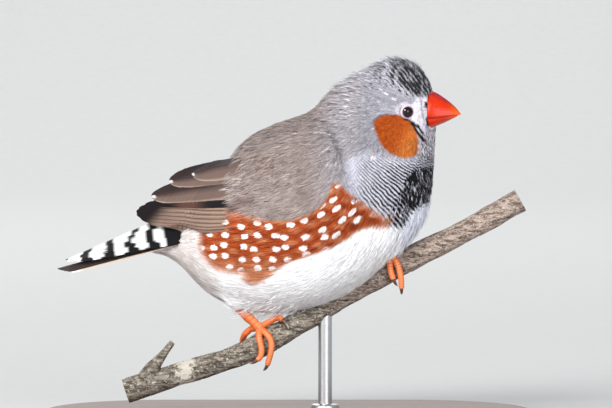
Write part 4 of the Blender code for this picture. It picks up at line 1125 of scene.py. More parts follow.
# %% Sizes of the plumes
# By the distance from the bill, mm: plume length, plume half width and barb width
PLUME_LENGTH = ([0, 2, 6, 12, 20, 32], [0.85, 1.2, 1.5, 1.9, 2.7, 4.0])
PLUME_WIDTH = ([0, 2, 6, 12, 20, 32], [0.23, 0.30, 0.38, 0.48, 0.70, 1.05])
BARB_WIDTH = ([0, 2, 6, 12, 20, 32], [0.075, 0.085, 0.10, 0.11, 0.13, 0.16])
FULLNESS = 3.4
BARE_ROUND_EYE = 1.4

body.jog = np.array([0.5, 0.4])
length_map = np.interp(body.from_bill, *PLUME_LENGTH)
width_map = np.interp(body.from_bill, *PLUME_WIDTH)
per_mm = FULLNESS / (length_map * width_map)
v, t = sow(body, per_mm, 0.37)
distance = body.read(body.from_bill, v, t)
x, z, y = np.moveaxis(body.read(body.place, v, t), -1, 0)
out = body.read(body.out, v, t)
depth = body.read(body.depth, v, t)
crest = ease(out[:, 2], 0.45, 0.85) * ease(x, 2.0, 8.0)
ruff = ease(out[:, 0], 0.55, 0.85) * ease(z, 55.0, 58.0) * ease(-z, -70.5, -68.0)
bib = ease(x, 21.5, 24.0) * ease(z, 42.0, 45.0) * ease(-z, -56.0, -53.5)
in_belly = ease(-z, -46.0, -40.0)
lift = (0.20 * crest + 0.12 * ruff + 0.25 * bib) / depth
length = np.interp(distance, *PLUME_LENGTH) * (1 + 0.6 * crest + 0.9 * bib + 0.3 * in_belly)
ruffle = 5.0 - 2.0 * np.maximum(bib, in_belly) + 3.0 * crest
plume_width, barb_width = np.interp(distance, *PLUME_WIDTH), np.interp(distance, *BARB_WIDTH)
plumes = grow(body, v, t, length, plume_width, barb_width, depth,
              barbs=12, seed=11, ruffle=ruffle, lift=lift, contrast=0.14,
              calm=0.3 + 0.5 * in_belly * (1 - bib))


def clear_of_eyes(barbs):
    """Only the barbs that don't cross an eye."""
    keep = np.ones(len(barbs["dice"]), bool)
    for centre, axis in EYES.values():
        arm = barbs["points"] - centre
        along = dot(arm, axis)
        aside = np.linalg.norm(arm - along[..., None] * axis, axis=-1)
        keep &= ~((aside < BARE_ROUND_EYE) & (along > 0)).any(1)
    return picked(barbs, keep)


plumes = clear_of_eyes(plumes)
print(len(v), "plumes,", RIBBON_TRIANGLES * len(plumes["dice"]), "triangles")

# %% The coat in pieces
# Each region ends at one hoop number of the skin
REGIONS = [("coat_tail_base", 4.0, "plumage_body"), ("coat_flanks", 6.0, "plumage_body"),
           ("coat_shoulders", 7.6, "plumage_body"), ("coat_breast", 9.2, "plumage_body"),
           ("coat_neck", 11.0, "plumage_head"), ("coat_cheeks", 12.8, "plumage_head"),
           ("coat_face", 14.2, "plumage_head"), ("coat_forehead", 16.1, "plumage_head")]
start = -1.0
for name, end, slot in REGIONS:
    along = plumes["root"][:, 0] / HOOP_STEPS
    keep = (along > start) & (along <= end)
    print(name, coat_piece(name, body, picked(plumes, keep)), "triangles")
    start = end

# %% Loose tips over the coat
# Single pointed wisps lie on top of the coat. They draw the black streaks of the crown, the fine
# salt and pepper of the neck and the long pale threads of the breast.
x, z, y = np.moveaxis(body.place, -1, 0)
crest_map = ease(body.out[..., 2], 0.3, 0.75) * ease(x, 4.0, 12.0)
head_map = ease(x + 0.5 * (z - 60), 4.0, 14.0) * ease(z, 58.0, 64.0)
bib_map = ease(x, 22.5, 24.5) * ease(z, 40.0, 45.0) * ease(-z, -58.0, -54.0)
calm = ease(body.from_bill, 1.0, 3.0) * ease(-body.marks[..., 0], -0.2, 0.3)
amount = np.maximum(np.maximum(2.6 * crest_map, 0.9 * head_map) * calm, 0.8 * bib_map)
tuft_map = ease(-z, -33.0, -28.5) * ease(-x, -6.0, 0.0) * ease(x, -16.0, -11.0)
v, t = sow(body, amount + 0.12 * (z > 50) + 0.9 * tuft_map, 0.61)
crest, bib, tuft = (body.read(field, v, t) for field in (crest_map, bib_map, tuft_map))
depth = body.read(body.depth, v, t)
lift = (0.10 + 0.42 * crest + 0.25 * bib + 0.9 * tuft) / depth
long = 1.6 + 1.5 * crest + 3.2 * bib + 3.0 * tuft
wisps = grow(body, v, t, long, 0.15 + 0.05 * crest + 0.04 * bib, 0.09, depth, barbs=5, seed=12,
             ruffle=7.0 + 4.0 * crest - 3.0 * bib, lift=lift, locks=1, contrast=0.38)
print("wisps", coat_piece("coat_wisps", body, clear_of_eyes(wisps)), "triangles")

# %% [markdown]
# ## The wings' ground
#
# A folded wing is a stack of stiff feathers laid over the flank. The measured wing panels give the
# outer face: rays from the side find its height at each place, the gaps past the panels' edges are
# filled from their neighbours, and the steps are ironed out. The same sheet, flipped, serves the
# other side.

# %% The outer face of a folded wing
WING_X0, WING_Z0, WING_STEP = 17.0, 39.0, 0.5
WING_ROWS, WING_COLUMNS = 120, 78
# Seen from the side, x and z: the part of the wing that plumes cover
WING_COVER = [(11.8, 65.0), (6.2, 69.6), (-0.6, 69.6), (-6.0, 67.6), (-11.2, 65.3), (-10.6, 55.0),
              (-9.9, 47.8), (-3.4, 48.2), (3.6, 50.0), (9.6, 53.8), (13.0, 59.5)]
FILL_ROUNDS = 80
WING_PLUME_DEPTH = 0.95
side_tree = measured("trunk", "neck", "wing_right_coverts", "wing_right_tertials", "wing_right_primaries")
wing_height = np.zeros((WING_ROWS, WING_COLUMNS))
for row in range(WING_ROWS):
    for column in range(WING_COLUMNS):
        x, z = WING_X0 - row * WING_STEP, WING_Z0 + column * WING_STEP
        found = side_tree.ray_cast(Vector((x, -60, z)), Vector((0, 1, 0)), 60)[0]
        wing_height[row, column] = -found.y if found else 0.0
known = wing_height > 0.3
for _ in range(FILL_ROUNDS):
    weight = known.astype(float)
    total = ironed(wing_height * weight, 1)
    share = ironed(weight, 1)
    fresh = ~known & (share > 1e-6)
    wing_height[fresh] = total[fresh] / share[fresh]
    known |= fresh
wing_height = ironed(wing_height, 4)
grid_x = WING_X0 - np.arange(WING_ROWS)[:, None] * WING_STEP + np.zeros((1, WING_COLUMNS))
grid_z = WING_Z0 + np.arange(WING_COLUMNS)[None, :] * WING_STEP + np.zeros((WING_ROWS, 1))
WINGS = {}
for label, side in (("right", -1), ("left", 1)):
    ground = Ground(np.stack([grid_x, side * wing_height, grid_z], -1), ring=False, outward=side)
    ground.place = np.stack([grid_x, grid_z, wing_height], -1)
    ground.depth = np.full(ground.size, WING_PLUME_DEPTH)
    ground.jog = np.array([0.9, 0.9])
    ground.flat = (WING_X0, -WING_STEP, WING_Z0, WING_STEP)
    comb(ground)
    survey(ground)
    WINGS[label] = ground
    print("wing", label, "faces out:", round(float((ground.out[..., 1] * side > 0).mean()), 3))

# %% [markdown]
# ## Vanes
#
# The long feathers of wing and tail have a real vane: a flat blade either side of a shaft. Each
# blade follows a bent centre line, is cut to a width that swells and then rounds off at the tip,
# and is laid on the ground a hair's breadth above or below its neighbours. A blade is a closed
# slab, so it has an underside and a true edge. Its colour is a small painting: `across` runs from
# -1 at one edge to 1 at the other, and `along` from 0 at the root to 1 at the tip.

# %% One vane
HALF_ACROSS = [0.05, 0.22, 0.45, 0.64, 0.78, 0.88, 0.95, 1]
ACROSS = np.array([-share for share in HALF_ACROSS[::-1]] + [0] + HALF_ACROSS)
ALONG = np.concatenate([np.linspace(0, 0.85, 30),
                        0.85 + 0.15 * np.sin(np.linspace(0, math.pi / 2, 15)[1:])])
VANE_THICKNESS = 0.05
BARB_SPACING = 0.30


def vane(ground, line, low_width, high_width, lift, paint, round_from=0.72, camber=0.12, seed=0):
    """Points, colours and barb counts of one blade; line holds flat root, bend and tip."""
    dice = np.random.default_rng(seed)
    root, bend, tip = (np.array(p, float) for p in line)
    t = ALONG[:, None]
    centre = root * (1 - t) ** 2 + bend * 2 * t * (1 - t) + tip * t * t
    way = (bend - root) * 2 * (1 - t) + (tip - bend) * 2 * t
    way /= np.linalg.norm(way, axis=1, keepdims=True)
    side = np.stack([way[:, 1], -way[:, 0]], -1)
    if side[:, 1].mean() < 0:
        side = -side
    shape = np.sqrt(np.clip(1 - np.clip((t - round_from) / (1 - round_from), 0, 1) ** 2.2, 0, 1))
    shape = shape * (0.72 + 0.28 * ease(t, 0, 0.3))
    width = np.where(ACROSS < 0, low_width, high_width)[None, :] * shape
    ragged = 1 + (np.abs(ACROSS)[None, :] > 0.9) * dice.normal(0, 0.012, (len(ALONG), 1))
    flat = centre[:, None, :] + side[:, None, :] * (ACROSS[None, :] * width * ragged)[..., None]
    x0, dx, z0, dz = ground.flat
    v, u = (flat[..., 0] - x0) / dx, (flat[..., 1] - z0) / dz
    out = ground.read(ground.out, v, u)
    height = lift + camber * (1 - ACROSS**2)[None, :] + 0.05 * (np.abs(ACROSS) < 0.02)[None, :]
    height = height * np.ones_like(v)
    top = ground.read(ground.points, v, u) + out * height[..., None]
    bottom = top - out * VANE_THICKNESS
    length = np.linalg.norm(tip - root)
    across = ACROSS[None, :] * np.ones_like(v)
    along = t * np.ones_like(v)
    colour = paint(across, along, flat)
    barbs = (along * length - 1.1 * np.abs(across) * width) / BARB_SPACING
    place = np.stack([flat[..., 0], flat[..., 1], barbs], -1)
    return {"top": top, "bottom": bottom, "colour": colour, "place": place}


def slab_faces(rows, columns):
    """Corners of a closed slab: its top, its bottom and the edge between them."""
    top = grid_faces(rows, columns)
    bottom = top[:, ::-1] + rows * columns
    number = np.arange(rows * columns).reshape(rows, columns)
    around = np.concatenate([number[0], number[1:, -1], number[-1, -2::-1], number[-2:0:-1, 0]])
    after = np.roll(around, -1)
    edge = np.stack([after, around, around + rows * columns, after + rows * columns], -1)
    return np.concatenate([top, bottom, edge])


def fan_of_vanes(name, vanes, finish, flip=False, replaces=()):
    """Joins blades into one object; each has its own tile of the bake map."""
    rows, columns = len(ALONG), len(ACROSS)
    points, colours, places, spread, squares = [], [], [], [], []
    tiles = math.ceil(math.sqrt(len(vanes)))
    faces = slab_faces(rows, columns)
    tile_u, tile_v = np.meshgrid(np.linspace(0.04, 0.96, columns), np.linspace(0.04, 0.96, rows))
    for number, blade in enumerate(vanes):
        offset = np.array([number % tiles, number // tiles])
        tile = (np.stack([tile_u, tile_v], -1) + offset) / tiles
        for part in ("top", "bottom"):
            points.append(blade[part].reshape(-1, 3))
            colours.append(blade["colour"].reshape(-1, 3))
            places.append(blade["place"].reshape(-1, 3))
            spread.append(tile.reshape(-1, 2))
        squares.append(faces + 2 * rows * columns * number)
    squares = np.concatenate(squares)
    if flip:
        squares = squares[:, ::-1]
    kept = {"ground": np.clip(np.concatenate(colours), 0, 1), "place": np.concatenate(places)}
    make_piece(name, np.concatenate(points), listed(squares), finish, kept, np.concatenate(spread),
               replaces=replaces)
    print(name, len(vanes), "blades,", 2 * len(squares), "triangles")


# %% Vane finish
blade_finish = Finish("feather_vane", 0.62, 0.14, sheen_weight=0.03)
blade_place = blade_finish.stored("place", "Vector")
blade_parts = blade_finish.wire("ShaderNodeSeparateXYZ", {"Vector": blade_place})
barb_wave = blade_finish.maths("SINE", blade_finish.maths("MULTIPLY", blade_parts["Z"], 2 * math.pi))
uneven = blade_finish.speckle(blade_finish.stretched(blade_place, (0.06, 0.06, 1.0)), 1.1, 4.0)
barb_tone = blade_finish.maths("MULTIPLY_ADD", barb_wave, 0.07, 0.72)
barb_tone = blade_finish.maths("MULTIPLY_ADD", uneven, 0.56, barb_tone)
blade_ground_colour = blade_finish.stored("ground", "Color")
blade_finish.plug(blade_finish.blend(1.0, blade_ground_colour, blade_finish.grey(barb_tone), "MULTIPLY"))
blade_finish.raise_bumps(blade_finish.maths("ADD", barb_wave, uneven), 0.45, 0.00005)
print("vane finish ready")

# %% How the long wing feathers are painted
DARK_BROWN = srgb(58, 44, 42)
NEAR_BLACK = srgb(22, 16, 19)
WEB = srgb(110, 90, 82)
FRINGE = srgb(166, 146, 131)
FAWN = srgb(162, 136, 120)
BARE_TIP = srgb(208, 204, 206)


def paint_tertial(across, along, flat):
    """Dark inner web that fades into a warm grey outer web with a pale hem, and a fleck at the tip."""
    colour = np.broadcast_to(WEB, across.shape + (3,)).copy()
    colour = lay_over(colour, ease(across, -0.45, 0.0) * ease(along, 0.2, 0.6), DARK_BROWN)
    colour = lay_over(colour, ease(across, -0.15, 0.4) * ease(along, 0.3, 0.8) * 0.9, NEAR_BLACK)
    colour = lay_over(colour, ease(across, -0.75, 0.1) * ease(along, 0.68, 0.95) * 0.6, DARK_BROWN)
    colour = lay_over(colour, ease(-across, 0.78, 0.95) * 0.8, FRINGE)
    fleck = np.hypot((across + 0.25) / 0.45, (along - 0.990) / 0.026)
    return lay_over(colour, ease(-fleck, -1.0, -0.7), BARE_TIP)


def paint_flight(across, along, flat):
    """Brown blade with a fawn outer hem that dies out before the dark tip."""
    colour = np.broadcast_to(srgb(84, 64, 57), across.shape + (3,)).copy()
    hem = ease(-across, 0.30, 0.62)
    colour = lay_over(colour, hem, FAWN)
    far = -flat[..., 0] + 0.9 * (flat[..., 1] - 50)
    colour = lay_over(colour, ease(along, 0.55, 0.9) * 0.45, DARK_BROWN)
    return lay_over(colour, ease(far, 30.0, 34.5), NEAR_BLACK)


def paint_hidden(across, along, flat):
    """The blade that only shows in the gap below the tertials: red-brown in the middle and near black
    further out, partly painted shade in that gap.
    """
    colour = np.broadcast_to(srgb(84, 58, 50), across.shape + (3,)).copy()
    return lay_over(colour, ease(np.abs(flat[..., 0] + 24.5), 1.0, 5.5), NEAR_BLACK)


print("flight feathers' hem:", FAWN.round(3))

# %% Lay the wing's long feathers
FLIGHT_SEED = 20
# Root, bend and tip of each, x and z seen from the side, with lower and upper half widths
TERTIALS = [
    ((-3.0, 63.0), (-14.0, 63.3), (-24.3, 59.4), 3.4, 1.1),
    ((-3.0, 60.6), (-15.0, 61.0), (-30.1, 57.6), 2.9, 2.7),
    ((-3.0, 58.4), (-17.0, 58.2), (-34.2, 54.1), 3.5, 2.6),
    ((-3.0, 53.9), (-17.0, 54.0), (-32.6, 52.2), 1.3, 1.6),
]
FLIGHT_COUNT = 9
for label, ground in WINGS.items():
    flip = label == "left"
    blades = []
    for number, (root, bend, tip, low, high) in enumerate(TERTIALS):
        paint = paint_tertial if number < 3 else paint_hidden
        blades.append(vane(ground, (root, bend, tip), low, high, -0.16 - 0.10 * number, paint,
                           round_from=0.58, seed=number))
    fan_of_vanes(f"wing_{label}_inner_feathers", blades[::-1], blade_finish, flip,
                 (f"wing_{label}_tertials",))
    blades = []
    for number in range(FLIGHT_COUNT):
        share = number / (FLIGHT_COUNT - 1)
        root = (-4.0, 54.2 - 6.3 * share)
        bend = (-21.0, 53.9 - 9.7 * share)
        tip = (-31.2 - 2 * share - 23.0 * share * (1 - share), 53.4 - 6.0 * share + 0.8 * share**2)
        blades.append(vane(ground, (root, bend, tip), 1.15, 1.35, -0.52 - 0.055 * number, paint_flight,
                           round_from=0.86, camber=0.05, seed=FLIGHT_SEED + number))
    fan_of_vanes(f"wing_{label}_flight_feathers", blades[::-1], blade_finish, flip,
                 (f"wing_{label}_primaries",))

# %% Plumes over the wing's front half
WING_SEEDS = {"right": 31, "left": 32}
for label, ground in WINGS.items():
    cover = within(WING_COVER, ground.place[..., 0], ground.place[..., 1])
    wanted = ease(cover, 0.0, 1.8) * (ground.place[..., 0] < 6.0)
    v, t = sow(ground, 0.95 * wanted, 0.21)
    rear = ease(-ground.read(ground.place[..., 0], v, t), 2.0, 9.0)
    depth = ground.read(ground.depth, v, t)
    plumes_here = grow(ground, v, t, 4.4 + 1.8 * rear, 1.2 + 0.2 * rear, 0.17, depth, barbs=14,
                       seed=WING_SEEDS[label], ruffle=11.0)
    made = coat_piece(f"wing_{label}_cover_plumes", ground, plumes_here,
                      (f"wing_{label}_coverts",))
    print("wing plumes", label, made, "triangles")

# %% [markdown]
# ## The tail
#
# The tail is a narrow folded fan of stiff dark feathers, with the outermost pale. Over it lie long
# black plumes with white bars, arched like a roof ridge. Both follow the measured tail: its axis
# runs down and back from the rump, and its surfaces fall away from a ridge on either side.

# %% The tail's grounds
TAIL_ROOT, TAIL_TIP = np.array([-24.0, 0, 46.2]), np.array([-57.2, 0, 36.6])
TAIL_WAY = (TAIL_TIP - TAIL_ROOT) / np.linalg.norm(TAIL_TIP - TAIL_ROOT)
TAIL_UP = np.array([TAIL_WAY[2], 0, -TAIL_WAY[0]])
TAIL_LENGTH = float(np.linalg.norm(TAIL_TIP - TAIL_ROOT))


def tail_ground(ridge, fall, spare_width):
    """A roof-shaped sheet over the tail's axis; flat places are (mm along, mm across)."""
    along = np.linspace(-8, 38, 93)[:, None]
    across = np.linspace(-1.3, 1.3, 53)[None, :]
    share = np.clip(along / TAIL_LENGTH, -0.2, 1.05)
    width = 5.3 * (1 - 0.38 * share) + spare_width
    high = ridge[0] + (ridge[1] - ridge[0]) * share
    drop = fall[0] + (fall[1] - fall[0]) * share
    height = high - drop * np.sqrt(across**2 + 0.02) ** 1.35
    points = TAIL_ROOT + TAIL_WAY * along[..., None] + TAIL_UP * height[..., None]
    points = points + np.array([0, 1, 0]) * (width * across)[..., None]
    ground = Ground(points, ring=False, outward=-1)
    ground.flat = (-8.0, 0.5, -6.5, 0.25)
    return ground


cover_ground = tail_ground((6.2, 1.2), (6.0, 0.25), 0.0)
blade_ground = tail_ground((0.1, 0.3), (1.5, 1.0), 0.1)
print("tail faces up:", round(float((cover_ground.out[..., 2] > 0).mean()), 3))

# %% How the tail feathers are painted
# Each white bar has a front and a back edge: mm along the tail, at these mm down from the ridge
BAR_DOWN = [0.0, 1.7, 2.5, 3.4, 4.1, 5.0, 5.6, 6.3]
WHITE_BARS = [
    ([6.9, 6.9, 6.8, 6.8, 6.8, 6.85, 6.95, 7.1], [7.7, 8.1, 8.7, 9.2, 9.5, 8.9, 8.4, 7.5]),
    ([10.2, 10.9, 11.2, 11.6, 11.9, 11.4, 11.3, 12.2], [12.4, 13.3, 13.8, 14.7, 14.4, 13.9, 13.4, 12.4]),
    ([14.8, 15.4, 16.0, 16.7, 17.1, 16.4, 16.3, 16.9], [19.2, 19.1, 19.0, 18.9, 18.9, 19.1, 19.1, 18.6]),
    ([21.5, 21.6, 21.7, 21.9, 21.8, 21.9, 22.3, 22.8], [24.6, 25.0, 25.4, 25.5, 25.3, 25.0, 24.6, 24.3]),
    ([27.4, 27.5, 28.1, 27.9, 27.5, 27.6, 28.0, 28.4], [31.0, 31.2, 31.3, 31.3, 31.2, 31.2, 31.0, 30.8]),
]


def paint_barred(across, along, flat):
    """A black plume with white bars that run on from one plume to the next."""
    where, down = flat[..., 0], np.abs(flat[..., 1])
    colour = np.broadcast_to(0.35 * BLACK, across.shape + (3,)).copy()
    for front, back in WHITE_BARS:
        past_front = where - np.interp(down, BAR_DOWN, front)
        before_back = np.interp(down, BAR_DOWN, back) - where
        inside = np.minimum(past_front, before_back) + 0.06 * np.sin(11 * down)
        colour = lay_over(colour, ease(inside, -0.10, 0.12), WHITE)
    return colour


def paint_tail(across, along, flat):
    """A plain dark tail feather with a fine pale hem."""
    colour = np.broadcast_to(srgb(44, 34, 34), across.shape + (3,)).copy()
    return lay_over(colour, ease(np.abs(across), 0.90, 0.98) * 0.4, srgb(140, 120, 110))


def paint_tail_edge(across, along, flat):
    """The outermost feather, brown then buff with a white end."""
    colour = np.broadcast_to(srgb(120, 98, 88), across.shape + (3,)).copy()
    colour = lay_over(colour, ease(np.abs(flat[..., 1]), 4.9, 5.5), srgb(222, 202, 184))
    return lay_over(colour, ease(along, 0.90, 0.96), WHITE)


print(len(WHITE_BARS), "white bars along the tail")

# %% Lay the tail
TAIL_PAIRS = 6
TAIL_SEED, COVER_SEED = 60, 80
BEND_ALONG = 14.0
blades = []
for number in range(TAIL_PAIRS):
    for side in (-1, 1):
        offset = side * (0.35 + 0.88 * number)
        length = 34.2 - 0.32 * number**1.5
        root, bend, tip = (-3.0, offset * 0.75), (BEND_ALONG, offset * 0.95), (length, offset)
        lift = -0.05 - 0.11 * number - 0.02 * (side > 0)
        paint = paint_tail_edge if number == TAIL_PAIRS - 1 else paint_tail
        blades.append(vane(blade_ground, (root, bend, tip), 1.5, 1.5, lift, paint, round_from=0.93,
                           camber=0.05, seed=TAIL_SEED + 2 * number + (side > 0)))
fan_of_vanes("tail_blades", blades, blade_finish, replaces=("tail_feathers",))

# The plumes over them, mm: how far out from the ridge, length and half width
PLUMES_OVER_TAIL = [(0.0, 31.8, 2.3), (2.35, 31.2, 2.7), (4.3, 28.8, 2.0)]
blades = []
for number, (offset, length, half) in enumerate(PLUMES_OVER_TAIL):
    for side in ((1,) if number == 0 else (-1, 1)):
        out = side * offset
        line = (-6.0, out), (BEND_ALONG, out * 1.02), (length, out * 0.98)
        blades.append(vane(cover_ground, line, half, half, -0.12 * number, paint_barred,
                           round_from=0.80, camber=0.10, seed=COVER_SEED + 2 * number + (side > 0)))
fan_of_vanes("tail_cover_plumes", blades[::-1], blade_finish, replaces=("tail_coverts",))

# %% [markdown]
# ## Legs, toes and claws
#
# A perching foot is armoured: overlapping plates, the scutes, run down the front of the leg and
# over each toe, and soft pads grip below. The tubes follow the measured toes. Their radius steps
# at each plate like a roof's tiles, and the finish darkens the seams. The claws carry on from the
# toe ends, curve round the bark and pale towards their points.

# %% Tubes that follow a line
def tube_rings(line, radii, segments):
    """Rings of points round a line; radii may differ along it and around it."""
    line = np.asarray(line, float)
    way = np.gradient(line, axis=0)
    way /= np.linalg.norm(way, axis=1, keepdims=True)
    first = np.cross(way[0], (0.3, 1.0, 0.1))
    frames = []
    for step in range(len(line)):
        first = first - way[step] * first.dot(way[step])
        first = first / np.linalg.norm(first)
        frames.append(first)
    first = np.array(frames)
    second = np.cross(way, first)
    turn = np.arange(segments) * 2 * math.pi / segments
    spoke = np.cos(turn)[None, :, None] * first[:, None] + np.sin(turn)[None, :, None] * second[:, None]
    radii = np.asarray(radii, float)
    radii = radii[:, None] * np.ones(segments) if radii.ndim == 1 else radii
    return line[:, None] + spoke * radii[..., None], spoke


def resampled(line, spacing):
    """The same line with points at an even spacing."""
    line = np.asarray(line, float)
    lengths = np.concatenate([[0], np.cumsum(np.linalg.norm(np.diff(line, axis=0), axis=1))])
    wanted = np.linspace(0, lengths[-1], max(4, int(lengths[-1] / spacing) + 1))
    return np.stack([np.interp(wanted, lengths, line[:, k]) for k in range(3)], -1), wanted


def joined_tubes(name, finish, tubes, replaces):
    """Closed tubes as one object in the room; each has its own strip of the bake map."""
    tables, spread, start = [], [], 0
    for number, tube in enumerate(tubes):
        rows, columns = tube["size"]
        tables += closed_tube(rows, columns, start)
        u, v = np.meshgrid(np.linspace(0.02, 0.94, columns), np.linspace(0.02, 0.98, rows))
        spread.append(with_ends(np.stack([(u + number) / len(tubes), v], -1)))
        start += rows * columns + 2
    kept = {key: np.concatenate([tube[key] for tube in tubes]) for key in tubes[0] if key in STORED_KINDS}
    points = np.concatenate([tube["points"] for tube in tubes])
    faces = listed(*tables)
    make_piece(name, points * MM, faces, finish, kept, np.concatenate(spread), in_room=True,
               replaces=replaces)
    print(name, len(faces[1]), "faces")


print("an 8 mm line at 0.5 mm has", len(resampled([(0, 0, 0), (8, 0, 0)], 0.5)[0]), "points")

# %% The branch's line and where toes touch it
PERCH_Y = -3.0
PERCH_RADIUS = 2.65
PERCH_LINE = [(-37.4, 9.5), (-27.7, 12.6), (-16.7, 16.0), (-9.1, 18.8), (1.7, 24.8), (10.7, 30.1),
              (19.4, 35.1), (26.6, 39.3), (39.7, 45.9), (53.2, 53.4)]
perch_curve = curve_through([(x, PERCH_Y, z) for x, z in PERCH_LINE], 12)


def branch_at(x):
    """The branch's middle and its direction at a room x, in millimetres."""
    near = [x - 0.5, x, x + 0.5]
    behind, place, ahead = np.stack([np.interp(near, perch_curve[:, 0], line) for line in perch_curve.T], -1)
    return place, (ahead - behind) / np.linalg.norm(ahead - behind)


def beside_perch(x, z, side, lift):
    """A place on the branch's bark as seen from the side: round its top, then hanging down."""
    centre, along = branch_at(x)
    up = np.array([-along[2], 0, along[0]])
    point = np.array([x, PERCH_Y, z])
    height = float((point - centre) @ up)
    reach = PERCH_RADIUS * 1.07 + lift
    out = math.sqrt(max(0.0, reach**2 - height**2))
    if height <= 0:
        out = reach - 0.25 * max(0.0, -height - PERCH_RADIUS)
    return point + np.array([0, side * out, 0])


# Seen from the side, x and z: the middle of each foot, and points along each of its toes. The first
# toe goes round the far side of the branch.
FEET = {
    "right": ((-6.7, 24.2), [[(-8.5, 23.8), (-9.9, 22.6), (-10.6, 20.7), (-10.3, 18.6)],
                             [(-6.7, 21.9), (-6.2, 19.6), (-6.4, 17.8), (-7.3, 16.8)],
                             [(-4.8, 22.7), (-3.9, 20.8), (-4.0, 18.9), (-4.5, 16.9), (-4.9, 15.6)],
                             [(-5.3, 25.0), (-3.7, 25.9), (-2.3, 26.5), (-1.2, 26.0)]]),
    "left": ((22.9, 41.2), [[(21.4, 40.0), (20.6, 38.0), (20.8, 35.8)],
                            [(23.2, 38.9), (23.5, 37.0), (24.1, 35.3)],
                            [(24.4, 39.9), (25.3, 37.9), (25.8, 35.5), (25.9, 33.2)],
                            [(21.6, 41.0), (20.2, 40.6), (18.6, 39.7)]]),
}
HEELS = {"right": (-15.9, -6.4, 31.3), "left": (14.6, 4.0, 49.0)}
print("right pad at", beside_perch(-6.7, 24.2, -1, 1.35).round(2))

# %% Leg and claw finishes
leg_finish = Finish("leg_scales", 0.42, 0.5, subsurface_weight=0.10, subsurface_scale=0.0004)
leg_place = leg_finish.stored("place", "Vector")
leg_grain = leg_finish.speckle(leg_place, 1.6, 4.0)
leg_finish.tint_ground(leg_grain, (0.72, 0.68, 0.66), (1.25, 1.28, 1.30))
leg_finish.raise_bumps(leg_finish.speckle(leg_place, 5.0, 3.0), 0.4, 0.00008)

claw_finish = Finish("claw_horn", 0.30, 0.5)
claw_place = claw_finish.stored("place", "Vector")
claw_streak = claw_finish.speckle(claw_finish.stretched(claw_place, (0.4, 3.0, 3.0)), 2.0, 3.0)
claw_finish.tint_ground(claw_streak, (0.7, 0.7, 0.7), (1.3, 1.3, 1.3))
claw_finish.raise_bumps(claw_streak, 0.3, 0.00005)
print("leg and claw finishes ready")

# %% Scaled limbs and claws
CLAW_RINGS = 24
CLAW_BEND = math.radians(42)
CLAW_LENGTH, CLAW_OVERLAP = 2.75, 0.35
CLAW_RADIUS, CLAW_TIP_RADIUS = 0.44, 0.035
LEG_ORANGE = srgb(218, 106, 46)
LEG_SEAM_AND_SHADE = srgb(138, 58, 28)
LEG_PALE = srgb(240, 158, 104)
CLAW_DARK = srgb(92, 66, 56)
CLAW_PALE = srgb(196, 176, 156)
SEGMENTS = 24
RING_SPACING = 0.12
PLATE_STEP, SEAM_DEPTH = 0.075, 0.06


def scaled_limb(line, start_radius, end_radius, plate, around_face, seed):
    """A limb with overlapping plates on its outer face and soft bulges below."""
    line, along = resampled(line, RING_SPACING)
    share = along / along[-1]
    girth = start_radius + (end_radius - start_radius) * share
    tooth = (along / plate + seed * 0.37) % 1
    from_seam = np.minimum(tooth, 1 - tooth)
    step = PLATE_STEP * (1 - tooth) - SEAM_DEPTH * np.exp(-((from_seam / 0.07) ** 2))
    _, spoke = tube_rings(line, girth, SEGMENTS)
    face = np.clip(dot(spoke, around_face), -1, 1)
    plates = ease(face, -0.35, 0.25)
    bulge = 0.07 * np.sin(along * 2 * math.pi / (plate * 3.1) + seed)[:, None] * ease(-face, 0.2, 0.8)
    radii = girth[:, None] * (1 + step[:, None] * plates * 1.1 + bulge)
    radii = radii * (1 - 0.06 * ease(face, 0.2, 0.9))
    to_end = np.clip(np.minimum(along, along[-1] - along) / (girth * 0.7), 0, 1)
    ends = np.sqrt(np.clip(1 - (1 - to_end) ** 2, 0.02, 1))
    rings = line[:, None] + spoke * (radii * ends[:, None])[..., None]
    seam = np.exp(-((from_seam / 0.10) ** 2))[:, None] * plates
    colour = np.broadcast_to(LEG_ORANGE, rings.shape).copy()
    # The plates' face is painted paler, partly as painted light; the side turned to the bark, away from the
    # lamps, is painted darker as shade; the seams between the plates are darker too
    colour = lay_over(colour, ease(face, 0.2, 1.0) * 0.45, LEG_PALE)
    colour = lay_over(colour, seam * 0.62, LEG_SEAM_AND_SHADE)
    colour = lay_over(colour, ease(-face, 0.3, 0.9) * 0.35, LEG_SEAM_AND_SHADE)
    place = np.stack([along[:, None] + 0 * face, spoke[..., 0] * 2, spoke[..., 2] * 2 + seed], -1)
    return {"size": face.shape, "points": with_ends(rings, line[0], line[-1]),
            "ground": with_ends(colour, LEG_SEAM_AND_SHADE, LEG_ORANGE), "place": with_ends(place)}


def claw(toe_end, way, inward):
    """A horn claw that carries on from a toe and curves towards the bark."""
    share = np.linspace(0, 1, CLAW_RINGS)
    bend = CLAW_BEND * share
    reach = way * np.cos(bend)[:, None] + inward * (np.sin(bend) * 0.9)[:, None]
    line = toe_end - way * CLAW_OVERLAP + reach * (CLAW_LENGTH * share)[:, None]
    girth = CLAW_RADIUS * (1 - share) ** 0.62 + CLAW_TIP_RADIUS
    rings, spoke = tube_rings(line, girth, SEGMENTS)
    tone = CLAW_DARK + ease(share, 0.35, 1.0)[:, None] * (CLAW_PALE - CLAW_DARK)
    place = np.stack([share[:, None] * 3 + 0 * spoke[..., 0], spoke[..., 0], spoke[..., 2]], -1)
    return {"size": (CLAW_RINGS, SEGMENTS), "points": with_ends(rings, line[0], line[-1]),
            "ground": with_ends(tone[:, None] + 0 * spoke), "place": with_ends(place, last=place[-1, -1])}


print("limbs and claws have", SEGMENTS, "points round")

